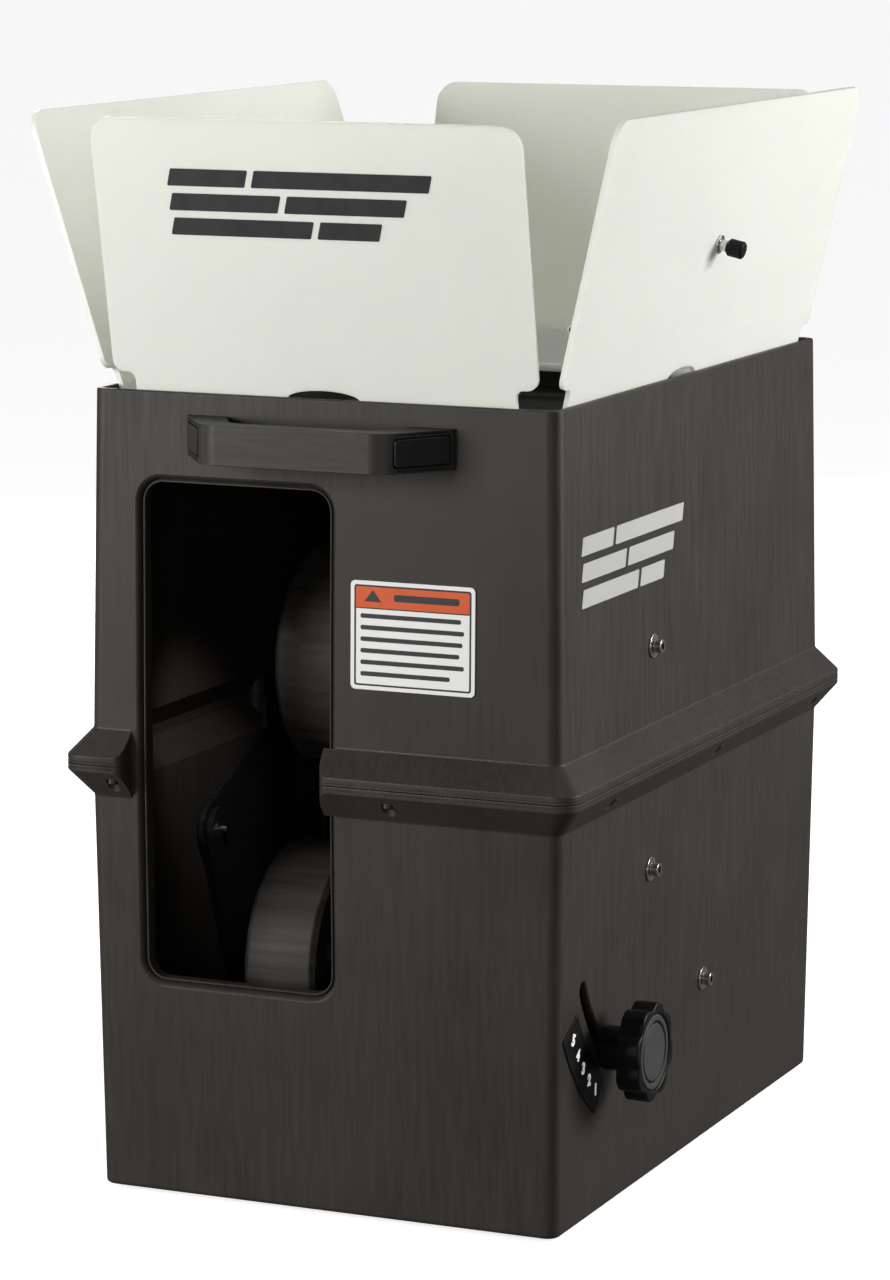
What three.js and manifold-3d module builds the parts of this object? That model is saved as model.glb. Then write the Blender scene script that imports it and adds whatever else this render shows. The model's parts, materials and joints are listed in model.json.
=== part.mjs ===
// A portable tennis ball machine. A two-part moulded housing carries a folding four-panel ball hopper,
// a rotating ball feeder, a ball chute, and a throwing head with two motor-driven wheels. The head tilts
// about a pivot on the side walls and is clamped by a knob that runs in an arc slot in the right wall.
//
// Millimetres, +Z up. The balls leave through the front, towards -Y; +X is the right side seen from the
// front. The origin is on the ground, under the middle of the whole outline. That is a little to the left
// of the housing's own middle, because the left hopper panel leans out the furthest.

import * as THREE from 'three';
import { mergeVertices } from 'three/addons/utils/BufferGeometryUtils.js';
import Module from 'manifold-3d';

const wasm = await Module();
wasm.setup();

// ---------------------------------------------------------------- driving dimensions

const FOOT_HEIGHT = 3; // the housing's underside stands this far above the ground
const OUTLINE_SHIFT = 8.4; // from the middle of the whole outline to the housing's own middle
const HOUSING = {
  halfX: 155, halfY: 229, height: 495, wall: 4, draft: 3.6, corner: 8, seam: 267, floorRadius: 3,
};
const RIDGE = { reach: 13, top: 287.5, bandTop: 272, bandLow: 262.5, low: 246, gapMinX: -126, gapMaxX: 3 };
const OPENING = { minX: -117.5, maxX: 5, minZ: 135, maxZ: 440, corner: 12, bevel: 6, lip: 8, depth: 12 };

const PIVOT = { y: -81, z: 197 };
const HEAD_TILT = 14; // degrees the head points up at rest
const WHEEL = { radius: 70, width: 48.6, hubRadius: 51.5, spacing: 188, ahead: 5.7, above: 23.7, x: -55 };
const SLOT = { radius: 119.3, width: 10, high: 26, low: 68, rest: 53 }; // angles below the horizontal
const KNOB = { radius: 30, thickness: 15, lobes: 8, neckRadius: 13.6, neckLength: 17.5 };

const PANEL = { thickness: 3, knuckle: 3, corner: 14, notchHeight: 13 };
const RIM_GAP = 0.3; // between a leaning panel and the rim that it rests on
const ROD_RADIUS = 1.5;

const WELL = { x: 0, y: 60, radius: 121, floor: 402, edge: 430, rim: 448, sheet: 3 };
const ROTOR = { radius: 118, pockets: 5, pocketRadius: 36, pocketCentre: 84, bottom: 403, top: 433 };
const DROP = { x: WHEEL.x, y: WELL.y + Math.sqrt(ROTOR.pocketCentre ** 2 - WHEEL.x ** 2), radius: 37 };
const CHUTE = { width: 72, sheet: 2.5, lowY: -26, lowZ: 172, highY: 163, slope: 0.42, wall: 38 };

const GAP = 0.3; // between neighbouring fixed pieces
const ROUND = 32; // sides of a large round piece
const SMALL_ROUND = 16;

const rad = THREE.MathUtils.degToRad;

// ---------------------------------------------------------------- materials

const finish = (color, roughness, metalness = 0) =>
  new THREE.MeshStandardMaterial({ color, roughness, metalness });
const blackPlastic = finish(0x34322e, 0.55);
const gripPlastic = finish(0x2e2d2a, 0.5);
const darkPlastic = finish(0x151517, 0.4);
const whitePlastic = finish(0xdfe3da, 0.35);
const steel = finish(0xb9bbbd, 0.3, 1);
const aluminium = finish(0x9b9da0, 0.4, 1);
const rubber = finish(0x1a1a1a, 0.8);
const treadRubber = finish(0x45423c, 0.7);
const boardGreen = finish(0x1f5a35, 0.6);
const batteryBlack = finish(0x222426, 0.6);
const labelWhite = finish(0xeeeeea, 0.5);
const trayPlastic = finish(0x2a2a2a, 0.6);

// ---------------------------------------------------------------- solids

// A geometry as a manifold-3d solid, turned so that its faces point out.
function solid(geometry) {
  const corners = geometry.getAttribute('position').clone();
  const bare = new THREE.BufferGeometry().setAttribute('position', corners);
  if (geometry.index) bare.setIndex(geometry.index);
  const merged = mergeVertices(bare, 1e-3);
  const vertProperties = merged.attributes.position.array;
  const triVerts = new Uint32Array(merged.index.array);
  const make = () => new wasm.Manifold(new wasm.Mesh({ numProp: 3, vertProperties, triVerts }));
  const first = make();
  if (first.volume() > 0) return first;
  for (let i = 0; i < triVerts.length; i += 3) {
    [triVerts[i + 1], triVerts[i + 2]] = [triVerts[i + 2], triVerts[i + 1]];
  }
  return make();
}

function geometryOf(made) {
  const mesh = made.getMesh();
  const positions = new Float32Array(mesh.numVert * 3);
  for (let i = 0; i < mesh.numVert; i++) {
    const start = i * mesh.numProp;
    positions.set(mesh.vertProperties.subarray(start, start + 3), i * 3);
  }
  return new THREE.BufferGeometry()
    .setAttribute('position', new THREE.BufferAttribute(positions, 3))
    .setIndex(new THREE.BufferAttribute(mesh.triVerts, 1));
}

const join = (first, ...others) => geometryOf(others.reduce((sum, o) => sum.add(solid(o)), solid(first)));
const cut = (first, ...others) => (
  geometryOf(others.reduce((rest, o) => rest.subtract(solid(o)), solid(first)))
);

// A box between two corners.
function box(x0, y0, z0, x1, y1, z1) {
  return new THREE.BoxGeometry(x1 - x0, y1 - y0, z1 - z0)
    .translate((x0 + x1) / 2, (y0 + y1) / 2, (z0 + z1) / 2);
}

// A profile of [radius, distance] pairs turned about the X axis, or about the Z axis.
function turned(profile, sides) {
  return new THREE.LatheGeometry(profile.map(([r, d]) => new THREE.Vector2(r, d)), sides);
}
const turnedX = (profile, sides = ROUND) => turned(profile, sides).rotateZ(-Math.PI / 2);
const turnedZ = (profile, sides = ROUND) => turned(profile, sides).rotateX(Math.PI / 2);
const rod = (radius, from, to) => [[0, from], [radius, from], [radius, to], [0, to]];

// A shape drawn in (y, z) and extruded from x0 to x1, and one drawn in (x, z) from y1 back to y0.
function slabX(shape, x0, x1, curveSegments = 6) {
  const frame = new THREE.Matrix4().makeBasis(
    new THREE.Vector3(0, 1, 0), new THREE.Vector3(0, 0, 1), new THREE.Vector3(1, 0, 0),
  );
  return new THREE.ExtrudeGeometry(shape, { depth: x1 - x0, bevelEnabled: false, curveSegments })
    .applyMatrix4(frame).translate(x0, 0, 0);
}
function slabY(shape, y0, y1, curveSegments = 6) {
  const frame = new THREE.Matrix4().makeBasis(
    new THREE.Vector3(1, 0, 0), new THREE.Vector3(0, 0, 1), new THREE.Vector3(0, -1, 0),
  );
  return new THREE.ExtrudeGeometry(shape, { depth: y1 - y0, bevelEnabled: false, curveSegments })
    .applyMatrix4(frame).translate(0, y1, 0);
}
function slabZ(shape, z0, z1, curveSegments = 6) {
  return new THREE.ExtrudeGeometry(shape, { depth: z1 - z0, bevelEnabled: false, curveSegments })
    .translate(0, 0, z0);
}

function polygon(points) {
  return new THREE.Shape(points.map(([a, b]) => new THREE.Vector2(a, b)));
}

function roundedRectangle(x0, y0, x1, y1, r) {
  const shape = new THREE.Shape();
  shape.absarc(x1 - r, y1 - r, r, 0, Math.PI / 2);
  shape.absarc(x0 + r, y1 - r, r, Math.PI / 2, Math.PI);
  shape.absarc(x0 + r, y0 + r, r, Math.PI, 1.5 * Math.PI);
  shape.absarc(x1 - r, y0 + r, r, 1.5 * Math.PI, 2 * Math.PI);
  return shape;
}

// The outline round circles of one radius at the given points, which are in order round a convex shape.
function roundedHull(centres, r) {
  const shape = new THREE.Shape();
  const count = centres.length;
  for (let i = 0; i < count; i++) {
    const [before, here, after] = [centres.at(i - 1), centres[i], centres[(i + 1) % count]];
    const into = Math.atan2(here[1] - before[1], here[0] - before[0]) - Math.PI / 2;
    let out = Math.atan2(after[1] - here[1], after[0] - here[0]) - Math.PI / 2;
    if (out < into) out += 2 * Math.PI;
    shape.absarc(here[0], here[1], r, into, out);
  }
  return shape;
}

// Rings of equally many points joined into one closed solid: with flat ends, or end to end as a loop.
function loft(rings, { loop = false } = {}) {
  const count = rings[0].length;
  const points = rings.flat();
  const triangles = [];
  const joined = loop ? rings.length : rings.length - 1;
  for (let ring = 0; ring < joined; ring++) {
    const [a, b] = [ring * count, ((ring + 1) % rings.length) * count];
    for (let i = 0; i < count; i++) {
      const j = (i + 1) % count;
      triangles.push(a + i, a + j, b + j, a + i, b + j, b + i);
    }
  }
  const cap = (ring, flip) => {
    const middle = ring.reduce((sum, p) => sum.map((v, k) => v + p[k] / count), [0, 0, 0]);
    const start = ring === rings[0] ? 0 : (rings.length - 1) * count;
    points.push(middle);
    for (let i = 0; i < count; i++) {
      const [p, q] = [start + i, start + (i + 1) % count];
      triangles.push(points.length - 1, ...(flip ? [q, p] : [p, q]));
    }
  };
  if (!loop) {
    cap(rings[0], true);
    cap(rings.at(-1), false);
  }
  return new THREE.BufferGeometry()
    .setAttribute('position', new THREE.Float32BufferAttribute(points.flat(), 3))
    .setIndex(triangles);
}

// The points of a rounded rectangle, in two axes' own coordinates.
function roundedRing(x0, y0, x1, y1, r, perCorner = 5) {
  const corners = [[x1 - r, y1 - r, 0], [x0 + r, y1 - r, 90], [x0 + r, y0 + r, 180], [x1 - r, y0 + r, 270]];
  return corners.flatMap(([x, y, from]) => Array.from({ length: perCorner }, (_, i) => {
    const a = rad(from + 90 * i / (perCorner - 1));
    return [x + r * Math.cos(a), y + r * Math.sin(a)];
  }));
}

// ---------------------------------------------------------------- assembly

const machine = new THREE.Group();
machine.position.set(OUTLINE_SHIFT, 0, FOOT_HEIGHT);

function add(parent, name, geometry, material) {
  const mesh = new THREE.Mesh(geometry, material);
  mesh.name = name;
  parent.add(mesh);
  return mesh;
}

// ---------------------------------------------------------------- housing

// How far the drafted wall stands inside its widest size, at a height.
function draftAt(z) {
  const span = z > HOUSING.seam ? HOUSING.height - HOUSING.seam : HOUSING.seam;
  return HOUSING.draft * Math.abs(z - HOUSING.seam) / span;
}
const sideX = (z) => HOUSING.halfX - draftAt(z);
const endY = (z) => HOUSING.halfY - draftAt(z);

// The housing's section at height z, grown outwards by one amount, and by another at the front.
function section(z, grow, frontGrow = grow) {
  const [x, y] = [sideX(z) + grow, endY(z) + grow];
  const r = Math.max(HOUSING.corner + grow * (grow > 0 ? 0.4 : 1), 3);
  return roundedRing(-x, -endY(z) - frontGrow, x, y, r).map(([px, py]) => [px, py, z]);
}

// The ridge is hollow on three sides: how far its inner bends stand above or below its outer ones.
const BEND = 1.4;

// The hole that cuts the front wall: bevelled in from the face, then straight.
function openingCutter() {
  const face = -HOUSING.halfY;
  const ring = (y, grow) => roundedRing(
    OPENING.minX - grow, OPENING.minZ - grow, OPENING.maxX + grow, OPENING.maxZ + grow,
    OPENING.corner + grow,
  ).map(([x, z]) => [x, y, z]);
  return loft([
    ring(face - 0.5, OPENING.bevel),
    ring(face + 1, OPENING.bevel),
    ring(face + 3, OPENING.bevel * 0.55),
    ring(face + OPENING.bevel, OPENING.bevel * 0.15),
    ring(face + OPENING.bevel + 2, 0),
    ring(face + OPENING.depth + 20, 0),
  ]);
}

// The gap in the ridge where it passes the opening.
function ridgeCutter() {
  const { gapMinX, gapMaxX, reach, low, top } = RIDGE;
  return box(gapMinX, -HOUSING.halfY - 2 * reach, low - 5, gapMaxX, -HOUSING.halfY + 0.3, top + 5);
}

// The thick frame behind the front wall, which the opening is cut through.
function openingFrame(fromZ, toZ) {
  const edge = OPENING.lip;
  const outline = roundedRectangle(
    OPENING.minX - edge, Math.max(OPENING.minZ - edge, fromZ),
    OPENING.maxX + edge, Math.min(OPENING.maxZ + edge, toZ), 4,
  );
  return slabY(outline, -HOUSING.halfY + 3, -HOUSING.halfY + OPENING.depth);
}

// The arc slot, or a band round it, drawn in (y, z) about the pivot.
function arcBand(radius, width, highAngle, lowAngle, roundEnds) {
  const shape = new THREE.Shape();
  const [inner, outer] = [radius - width / 2, radius + width / 2];
  const [from, to] = [Math.PI + rad(highAngle), Math.PI + rad(lowAngle)];
  const at = (r, a) => [PIVOT.y + r * Math.cos(a), PIVOT.z + r * Math.sin(a)];
  shape.absarc(PIVOT.y, PIVOT.z, outer, from, to);
  if (roundEnds) shape.absarc(...at(radius, to), width / 2, to, to + Math.PI);
  shape.absarc(PIVOT.y, PIVOT.z, inner, to, from, true);
  if (roundEnds) shape.absarc(...at(radius, from), width / 2, from + Math.PI, from + 2 * Math.PI);
  return shape;
}

// Where the side bolts and the pivot bolts pass through the walls.
const SIDE_BOLTS = { upper: [-78, 335.5], lower: [16, 106] };
const CONTROL = { halfX: 75, z0: 291, z1: 391, cutX: 64, cutZ0: 302, cutZ1: 380 };
// The pocket of a ridge screw, its depth measured up from the ridge's lower end.
const POCKET = { radius: 4.5, depth: 7.5 };

// Screws that hold the halves together from below, as [x, y] on the ridge's underside.
const RIDGE_SCREWS = [
  [-135, -236], [48, -236], ...[-163, 17, 200].flatMap((y) => [[162, y], [-162, y]]),
  ...[-100, 0, 100].map((x) => [x, 236]),
];

function boltHole(y, z, side) {
  return turnedX(rod(3, 0, 40), SMALL_ROUND).translate(side > 0 ? 130 : -170, y, z);
}

function lowerHousing() {
  const { wall, seam, floorRadius, draft } = HOUSING;
  const top = seam - GAP / 2;
  const shell = loft([
    section(0, -floorRadius),
    section(floorRadius * 0.3, -floorRadius * 0.3),
    section(floorRadius, 0),
    section(RIDGE.low, 0),
    section(RIDGE.bandLow, RIDGE.reach),
    section(top, RIDGE.reach),
    section(top, RIDGE.reach - wall, -wall),
    section(RIDGE.bandLow + BEND, RIDGE.reach - wall, -wall),
    section(RIDGE.low + BEND, -wall),
    section(wall, -wall),
  ]);
  const pockets = RIDGE_SCREWS.map(([x, y]) => (
    turnedZ(rod(POCKET.radius, RIDGE.low - 8, RIDGE.low + POCKET.depth), 10).translate(x, y, 0)
  ));
  const feet = FOOT_PLACES.map(([x, y]) => turnedZ(rod(5, -1, 2), SMALL_ROUND).translate(x, y, 0));
  return cut(
    join(shell, openingFrame(0, top)),
    openingCutter(),
    ridgeCutter(),
    slabX(
      arcBand(SLOT.radius, SLOT.width, SLOT.high, SLOT.low, true),
      HOUSING.halfX - draft - 10, HOUSING.halfX + 5,
    ),
    boltHole(PIVOT.y, PIVOT.z, 1),
    boltHole(PIVOT.y, PIVOT.z, -1),
    boltHole(...SIDE_BOLTS.lower, 1),
    ...pockets,
    ...feet,
  );
}

function upperHousing() {
  const { wall, seam, height } = HOUSING;
  const bottom = seam + GAP / 2;
  const shell = loft([
    section(bottom, RIDGE.reach - wall, -wall),
    section(bottom, RIDGE.reach),
    section(RIDGE.bandTop, RIDGE.reach),
    section(RIDGE.top, 0),
    section(height - 1, 0),
    section(height, -1),
    section(height, -wall),
    section(RIDGE.top - BEND, -wall),
    section(RIDGE.bandTop - BEND, RIDGE.reach - wall, -wall),
  ], { loop: true });
  const { cutX, cutZ0, cutZ1 } = CONTROL;
  return cut(
    join(shell, openingFrame(bottom, height)),
    openingCutter(),
    ridgeCutter(),
    boltHole(...SIDE_BOLTS.upper, 1),
    box(-cutX, HOUSING.halfY - 20, cutZ0, cutX, HOUSING.halfY + 20, cutZ1),
  );
}

const FOOT_PLACES = [[-125, -195], [125, -195], [-125, 195], [125, 195]];
function feet() {
  const names = ['front_left_foot', 'front_right_foot', 'rear_left_foot', 'rear_right_foot'];
  const profile = [[0, -FOOT_HEIGHT], [9, -FOOT_HEIGHT], [10, -GAP], [4.5, -GAP], [4.5, 1.6], [0, 1.6]];
  names.forEach((name, i) => {
    add(machine, name, turnedZ(profile, SMALL_ROUND).translate(...FOOT_PLACES[i], 0), rubber);
  });
}

// A socket-head screw through a side wall, with its washer. side is 1 on the right and -1 on the left.
function sideScrew(name, y, z, side, length, washerName) {
  const wall = sideX(z);
  const washer = [[2.7, 0], [7.5, 0], [7.5, 1.2], [2.7, 1.2], [2.7, 0]];
  const head = 1.2 + GAP;
  const screw = [
    [0, -length], [2.5, -length], [2.5, head], [4.25, head], [4.25, head + 5],
    [2.2, head + 5], [2.2, head + 2.4], [0, head + 2.4],
  ];
  const place = (profile, start) => {
    const geometry = turnedX(profile, SMALL_ROUND).translate(wall + start, 0, 0);
    if (side < 0) geometry.rotateZ(Math.PI);
    return geometry.translate(0, y, z);
  };
  add(machine, name, place(screw, GAP), steel);
  if (washerName) add(machine, washerName, place(washer, GAP), steel);
}

function housing() {
  add(machine, 'lower_housing', lowerHousing(), blackPlastic);
  add(machine, 'upper_housing', upperHousing(), blackPlastic);
  feet();
  sideScrew('upper_side_bolt', ...SIDE_BOLTS.upper, 1, 9.5, 'upper_side_washer');
  sideScrew('lower_side_bolt', ...SIDE_BOLTS.lower, 1, 9.5, 'lower_side_washer');
  sideScrew('right_pivot_bolt', PIVOT.y, PIVOT.z, 1, 20, 'right_pivot_washer');
  sideScrew('left_pivot_bolt', PIVOT.y, PIVOT.z, -1, 20);
}

// ---------------------------------------------------------------- plates on the side walls

const CHASSIS = { outer: 147.9, inner: 144.9, boss: 16 };

function chassisPlates() {
  const hole = (y, z, side) => boltHole(y, z, side);
  const right = roundedHull([[PIVOT.y, PIVOT.z], SIDE_BOLTS.lower, SIDE_BOLTS.upper], CHASSIS.boss);
  add(machine, 'right_chassis_plate', cut(
    slabX(right, CHASSIS.inner, CHASSIS.outer),
    hole(PIVOT.y, PIVOT.z, 1), hole(...SIDE_BOLTS.upper, 1), hole(...SIDE_BOLTS.lower, 1),
  ), aluminium);

  // The left plate has a tab that stands up past the seam.
  const left = roundedHull([[PIVOT.y, PIVOT.z], SIDE_BOLTS.lower, [10, 236]], CHASSIS.boss);
  const tab = box(-CHASSIS.outer, -3, 236, -CHASSIS.inner, 25, 268);
  add(machine, 'left_chassis_plate', cut(
    join(slabX(left, -CHASSIS.outer, -CHASSIS.inner), tab), hole(PIVOT.y, PIVOT.z, -1),
  ), aluminium);
}

// ---------------------------------------------------------------- hopper panels

// Each panel stands in its own frame: its hinge along X, its sheet upwards, its outer face towards -Y.
// lean is how far it leans out at rest; rise is how far it reaches above the rim; turn is how far the
// frame is turned from the front.
const PANELS = {
  front: { turn: 0, lean: 10.5, hinge: 468.5, rise: 167, half: 137.8, tab: 123.5, notchAt: 0, wallAt: endY },
  back: { turn: 180, lean: 15, hinge: 468.5, rise: 167, half: 137.8, tab: 123.5, notchAt: 0, wallAt: endY },
  left: { turn: -90, lean: 18, hinge: 482, rise: 172, half: 213.8, tab: 200, notchAt: 0, wallAt: sideX },
  right: { turn: 90, lean: 12.7, hinge: 489, rise: 171, half: 215.6, tab: 201, notchAt: -15, wallAt: sideX },
};

for (const panel of Object.values(PANELS)) {
  const below = HOUSING.height - panel.hinge;
  const lean = rad(panel.lean);
  const rimFace = panel.wallAt(HOUSING.height) - HOUSING.wall;
  // The hinge stands inside the rim by what lets the leaning sheet rest on the rim's inner edge.
  panel.distance = rimFace - RIM_GAP - below * Math.tan(lean) - PANEL.thickness / 2 / Math.cos(lean);
  panel.length = below / Math.cos(lean) + panel.rise;
  panel.shoulder = below / Math.cos(lean) + PANEL.notchHeight;
}

function panelFrame(panel) {
  const frame = new THREE.Group();
  frame.rotation.z = rad(panel.turn);
  machine.add(frame);
  const hinge = new THREE.Group();
  hinge.position.set(0, -panel.distance, panel.hinge);
  frame.add(hinge);
  return hinge;
}

// A translucent sheet with round upper corners, and lower corners stepped in to a narrower tab.
function panelSheet({ half, tab, length, shoulder }) {
  const { corner, thickness, knuckle } = PANEL;
  const [outerRound, innerRound] = [7, 5];
  const shape = new THREE.Shape();
  shape.moveTo(-tab, 0);
  shape.lineTo(tab, 0);
  shape.absarc(tab + innerRound, shoulder - innerRound - 2, innerRound, Math.PI, Math.PI / 2, true);
  shape.absarc(half - outerRound, shoulder - 2 + outerRound, outerRound, 1.5 * Math.PI, 2 * Math.PI);
  shape.absarc(half - corner, length - corner, corner, 0, Math.PI / 2);
  shape.absarc(-half + corner, length - corner, corner, Math.PI / 2, Math.PI);
  shape.absarc(-half + outerRound, shoulder - 2 + outerRound, outerRound, Math.PI, 1.5 * Math.PI);
  shape.absarc(-tab - innerRound, shoulder - innerRound - 2, innerRound, Math.PI / 2, 0, true);
  const sheet = slabY(shape, -thickness / 2, thickness / 2, 4);
  const barrel = turnedX(rod(knuckle, -tab, tab), 12);
  const bore = turnedX(rod(ROD_RADIUS + 0.35, -tab - 1, tab + 1), 12);
  return { solidSheet: join(sheet, barrel), bore };
}

// A finger notch through the sheet, just above the rim.
function fingerNotch(panel) {
  const above = (HOUSING.height - panel.hinge) / Math.cos(rad(panel.lean));
  const shape = new THREE.Shape();
  shape.absellipse(panel.notchAt, above - 1, 24, 6, 0, Math.PI * 2);
  return slabY(shape, -PANEL.thickness, PANEL.thickness, 6);
}

const LATCH = { height: 82, offset: 0, stem: 3, collar: 4, cap: 5.5, out: 17 };

function hopper() {
  for (const [side, panel] of Object.entries(PANELS)) {
    const hinge = panelFrame(panel);
    const leaning = new THREE.Group();
    leaning.rotation.x = rad(panel.lean);
    hinge.add(leaning);

    const { solidSheet, bore } = panelSheet(panel);
    const holes = [bore, fingerNotch(panel)];
    const latchHeight = panel.shoulder - PANEL.notchHeight + LATCH.height;
    if (side === 'right') {
      holes.push(turnedZ(rod(LATCH.collar + GAP, -PANEL.thickness, PANEL.thickness), SMALL_ROUND)
        .rotateX(Math.PI / 2).translate(LATCH.offset, 0, latchHeight));
    }
    add(leaning, `${side}_panel`, cut(solidSheet, ...holes), whitePlastic);
    add(hinge, `${side}_hinge_rod`, turnedX(rod(ROD_RADIUS, -panel.tab - 8, panel.tab + 8), 8), steel);
    add(hinge, `${side}_hinge_rail`, hingeRail(panel), darkPlastic);
    if (side === 'right') latch(leaning, latchHeight);
  }
}

// A strip on the wall below the panel, with an ear at each end that holds the rod.
function hingeRail({ tab, distance, hinge, wallAt }) {
  const wall = wallAt(hinge) - HOUSING.wall - GAP - distance; // from the hinge line out to the wall
  const strip = 3;
  const ear = polygon([[-wall, -14], [-wall + strip, -14], [3.5, -3.5], [3.5, 3.5], [-wall, 3.5]]);
  const ears = [1, -1].map((side) => {
    const [a, b] = [side * (tab + 1), side * (tab + 7)];
    return slabX(ear, Math.min(a, b), Math.max(a, b));
  });
  const bore = turnedX(rod(ROD_RADIUS + 0.2, -tab - 9, tab + 9), 8);
  return cut(join(box(-tab - 7, -wall, -14, tab + 7, -wall + strip, -6), ...ears), bore);
}

// A spring plunger: a collar fixed in the sheet, and a knob on a stem that pulls out.
function latch(parent, height) {
  const half = PANEL.thickness / 2;
  const alongY = (profile) => (
    turnedZ(profile, SMALL_ROUND).rotateX(Math.PI / 2).translate(LATCH.offset, 0, height)
  );
  const bore = LATCH.stem - 1.2;
  add(parent, 'latch_collar', alongY([
    [bore, -half - 4], [6.5, -half - 4], [6.5, -half - GAP], [LATCH.collar, -half - GAP],
    [LATCH.collar, half + GAP], [6, half + GAP], [6, half + 1.6], [LATCH.collar - 0.4, half + 1.6],
    [LATCH.collar - 0.4, half + 6], [bore, half + 6], [bore, -half - 4],
  ]), steel);
  const stem = bore - 0.3;
  add(parent, 'latch_knob', alongY([
    [0, -half - 5], [stem, -half - 5], [stem, half + 6.5],
    [LATCH.cap - 1, half + 6.5], [LATCH.cap, half + 7.5],
    [LATCH.cap, half + LATCH.out - 1], [LATCH.cap - 1, half + LATCH.out], [0, half + LATCH.out],
  ]), darkPlastic);
}

// ---------------------------------------------------------------- ball feeder

// The funnel's rings: points round the pan's centre, on the rim's rectangle or on a circle.
function wellAngles() {
  const corners = [[1, 1], [-1, 1], [-1, -1], [1, -1]].map(([sx, sy]) =>
    Math.atan2(sy * TRAY_HALF.y - WELL.y, sx * TRAY_HALF.x));
  const steps = 7;
  return corners.flatMap((from, i) => {
    let to = corners[(i + 1) % 4];
    if (to < from) to += 2 * Math.PI;
    return Array.from({ length: steps }, (_, k) => from + (to - from) * k / steps);
  });
}
const TRAY_HALF = { x: 146, y: 216 };
const WELL_ANGLES = wellAngles();

function rimRing(z, grow = 0) {
  return WELL_ANGLES.map((a) => {
    const [c, s] = [Math.cos(a), Math.sin(a)];
    const reachX = (TRAY_HALF.x + grow) / Math.abs(c);
    const reachY = (TRAY_HALF.y + grow - Math.sign(s) * WELL.y) / Math.abs(s);
    const reach = Math.min(reachX, reachY);
    return [reach * c, WELL.y + reach * s, z];
  });
}
const wellRing = (r, z) => WELL_ANGLES.map((a) => [WELL.x + r * Math.cos(a), WELL.y + r * Math.sin(a), z]);

// The funnel from the walls down to the round pan.
function hopperFunnel() {
  const { radius, edge, rim, sheet } = WELL;
  const inner = radius + sheet + 3;
  return loft([
    wellRing(inner, edge - sheet),
    rimRing(rim - sheet),
    rimRing(rim + sheet),
    rimRing(rim + sheet, -sheet),
    rimRing(rim, -sheet),
    wellRing(inner, edge),
  ], { loop: true });
}

// The pan that the rotor turns in, with the hole that a ball drops through.
function feederPan() {
  const { radius, floor, edge, sheet } = WELL;
  const pan = turnedZ([
    [0, floor - sheet], [radius + sheet, floor - sheet], [radius + sheet, edge], [radius, edge],
    [radius, floor], [0, floor],
  ], ROUND).translate(WELL.x, WELL.y, 0);
  const drop = turnedZ(rod(DROP.radius, floor - 10, floor + 10), 24).translate(DROP.x, DROP.y, 0);
  const shaftHole = turnedZ(rod(9, floor - 10, floor + 10), SMALL_ROUND).translate(WELL.x, WELL.y, 0);
  return cut(pan, drop, shaftHole);
}

// A wheel with a pocket for one ball at each notch, a low cone on top, and its drive shaft below.
function feedRotor() {
  const { radius, pockets, pocketRadius, pocketCentre, bottom, top } = ROTOR;
  const body = turnedZ([
    [0, bottom - 20], [5, bottom - 20], [5, bottom], [radius, bottom],
    [radius, top - 12], [radius - 4, top - 8],
    [40, top], [24, top + 14], [0, top + 20],
  ], ROUND);
  const notches = Array.from({ length: pockets }, (_, i) => {
    const a = Math.atan2(DROP.y - WELL.y, DROP.x - WELL.x) + i * 2 * Math.PI / pockets;
    return turnedZ(rod(pocketRadius, bottom - 5, top + 30), 20)
      .translate(pocketCentre * Math.cos(a), pocketCentre * Math.sin(a), 0);
  });
  return cut(body, ...notches).translate(WELL.x, WELL.y, 0);
}

// A gearbox under the tray, with its motor hanging from it and a socket for the rotor's shaft.
function feedGearmotor() {
  const [bottom, top] = [356, WELL.floor - WELL.sheet - GAP];
  const gearbox = slabZ(roundedRectangle(-12, 30, 48, 92, 5), bottom, top, 4);
  const motor = turnedZ(
    [[0, 298], [14, 298], [18, 302], [18, bottom + 1], [0, bottom + 1]], 24,
  ).translate(30, 74, 0);
  const socket = turnedZ(rod(5.1, top - 20, top + 1), 24).translate(WELL.x, WELL.y, 0);
  return cut(join(gearbox, motor), socket);
}

// A sloping channel that takes a ball from the drop hole down to the wheels.
function ballChute() {
  const { width, sheet, lowY, lowZ, highY, slope, wall } = CHUTE;
  const floorAt = (y) => lowZ + slope * (y - lowY);
  const towerFront = 85;
  const towerTop = WELL.floor - WELL.sheet - GAP;
  const side = polygon([
    [lowY, floorAt(lowY) - sheet], [highY, floorAt(highY) - sheet],
    [highY, towerTop], [towerFront, towerTop],
    [towerFront, floorAt(towerFront) + wall + 25], [towerFront - 30, floorAt(towerFront - 30) + wall],
    [lowY, floorAt(lowY) + wall],
  ]);
  const inside = polygon([
    [lowY - 10, floorAt(lowY - 10)], [highY - sheet, floorAt(highY - sheet)], [highY - sheet, towerTop + 10],
    [lowY - 10, towerTop + 10],
  ]);
  const [left, right] = [WHEEL.x - width / 2, WHEEL.x + width / 2];
  return cut(slabX(side, left - sheet, right + sheet), slabX(inside, left, right));
}

function feeder() {
  add(machine, 'hopper_funnel', hopperFunnel(), trayPlastic);
  add(machine, 'feeder_pan', feederPan(), trayPlastic);
  add(machine, 'feed_rotor', feedRotor(), darkPlastic);
  add(machine, 'feed_gearmotor', feedGearmotor(), aluminium);
  add(machine, 'ball_chute', ballChute(), trayPlastic);
}

// ---------------------------------------------------------------- throwing head

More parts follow.
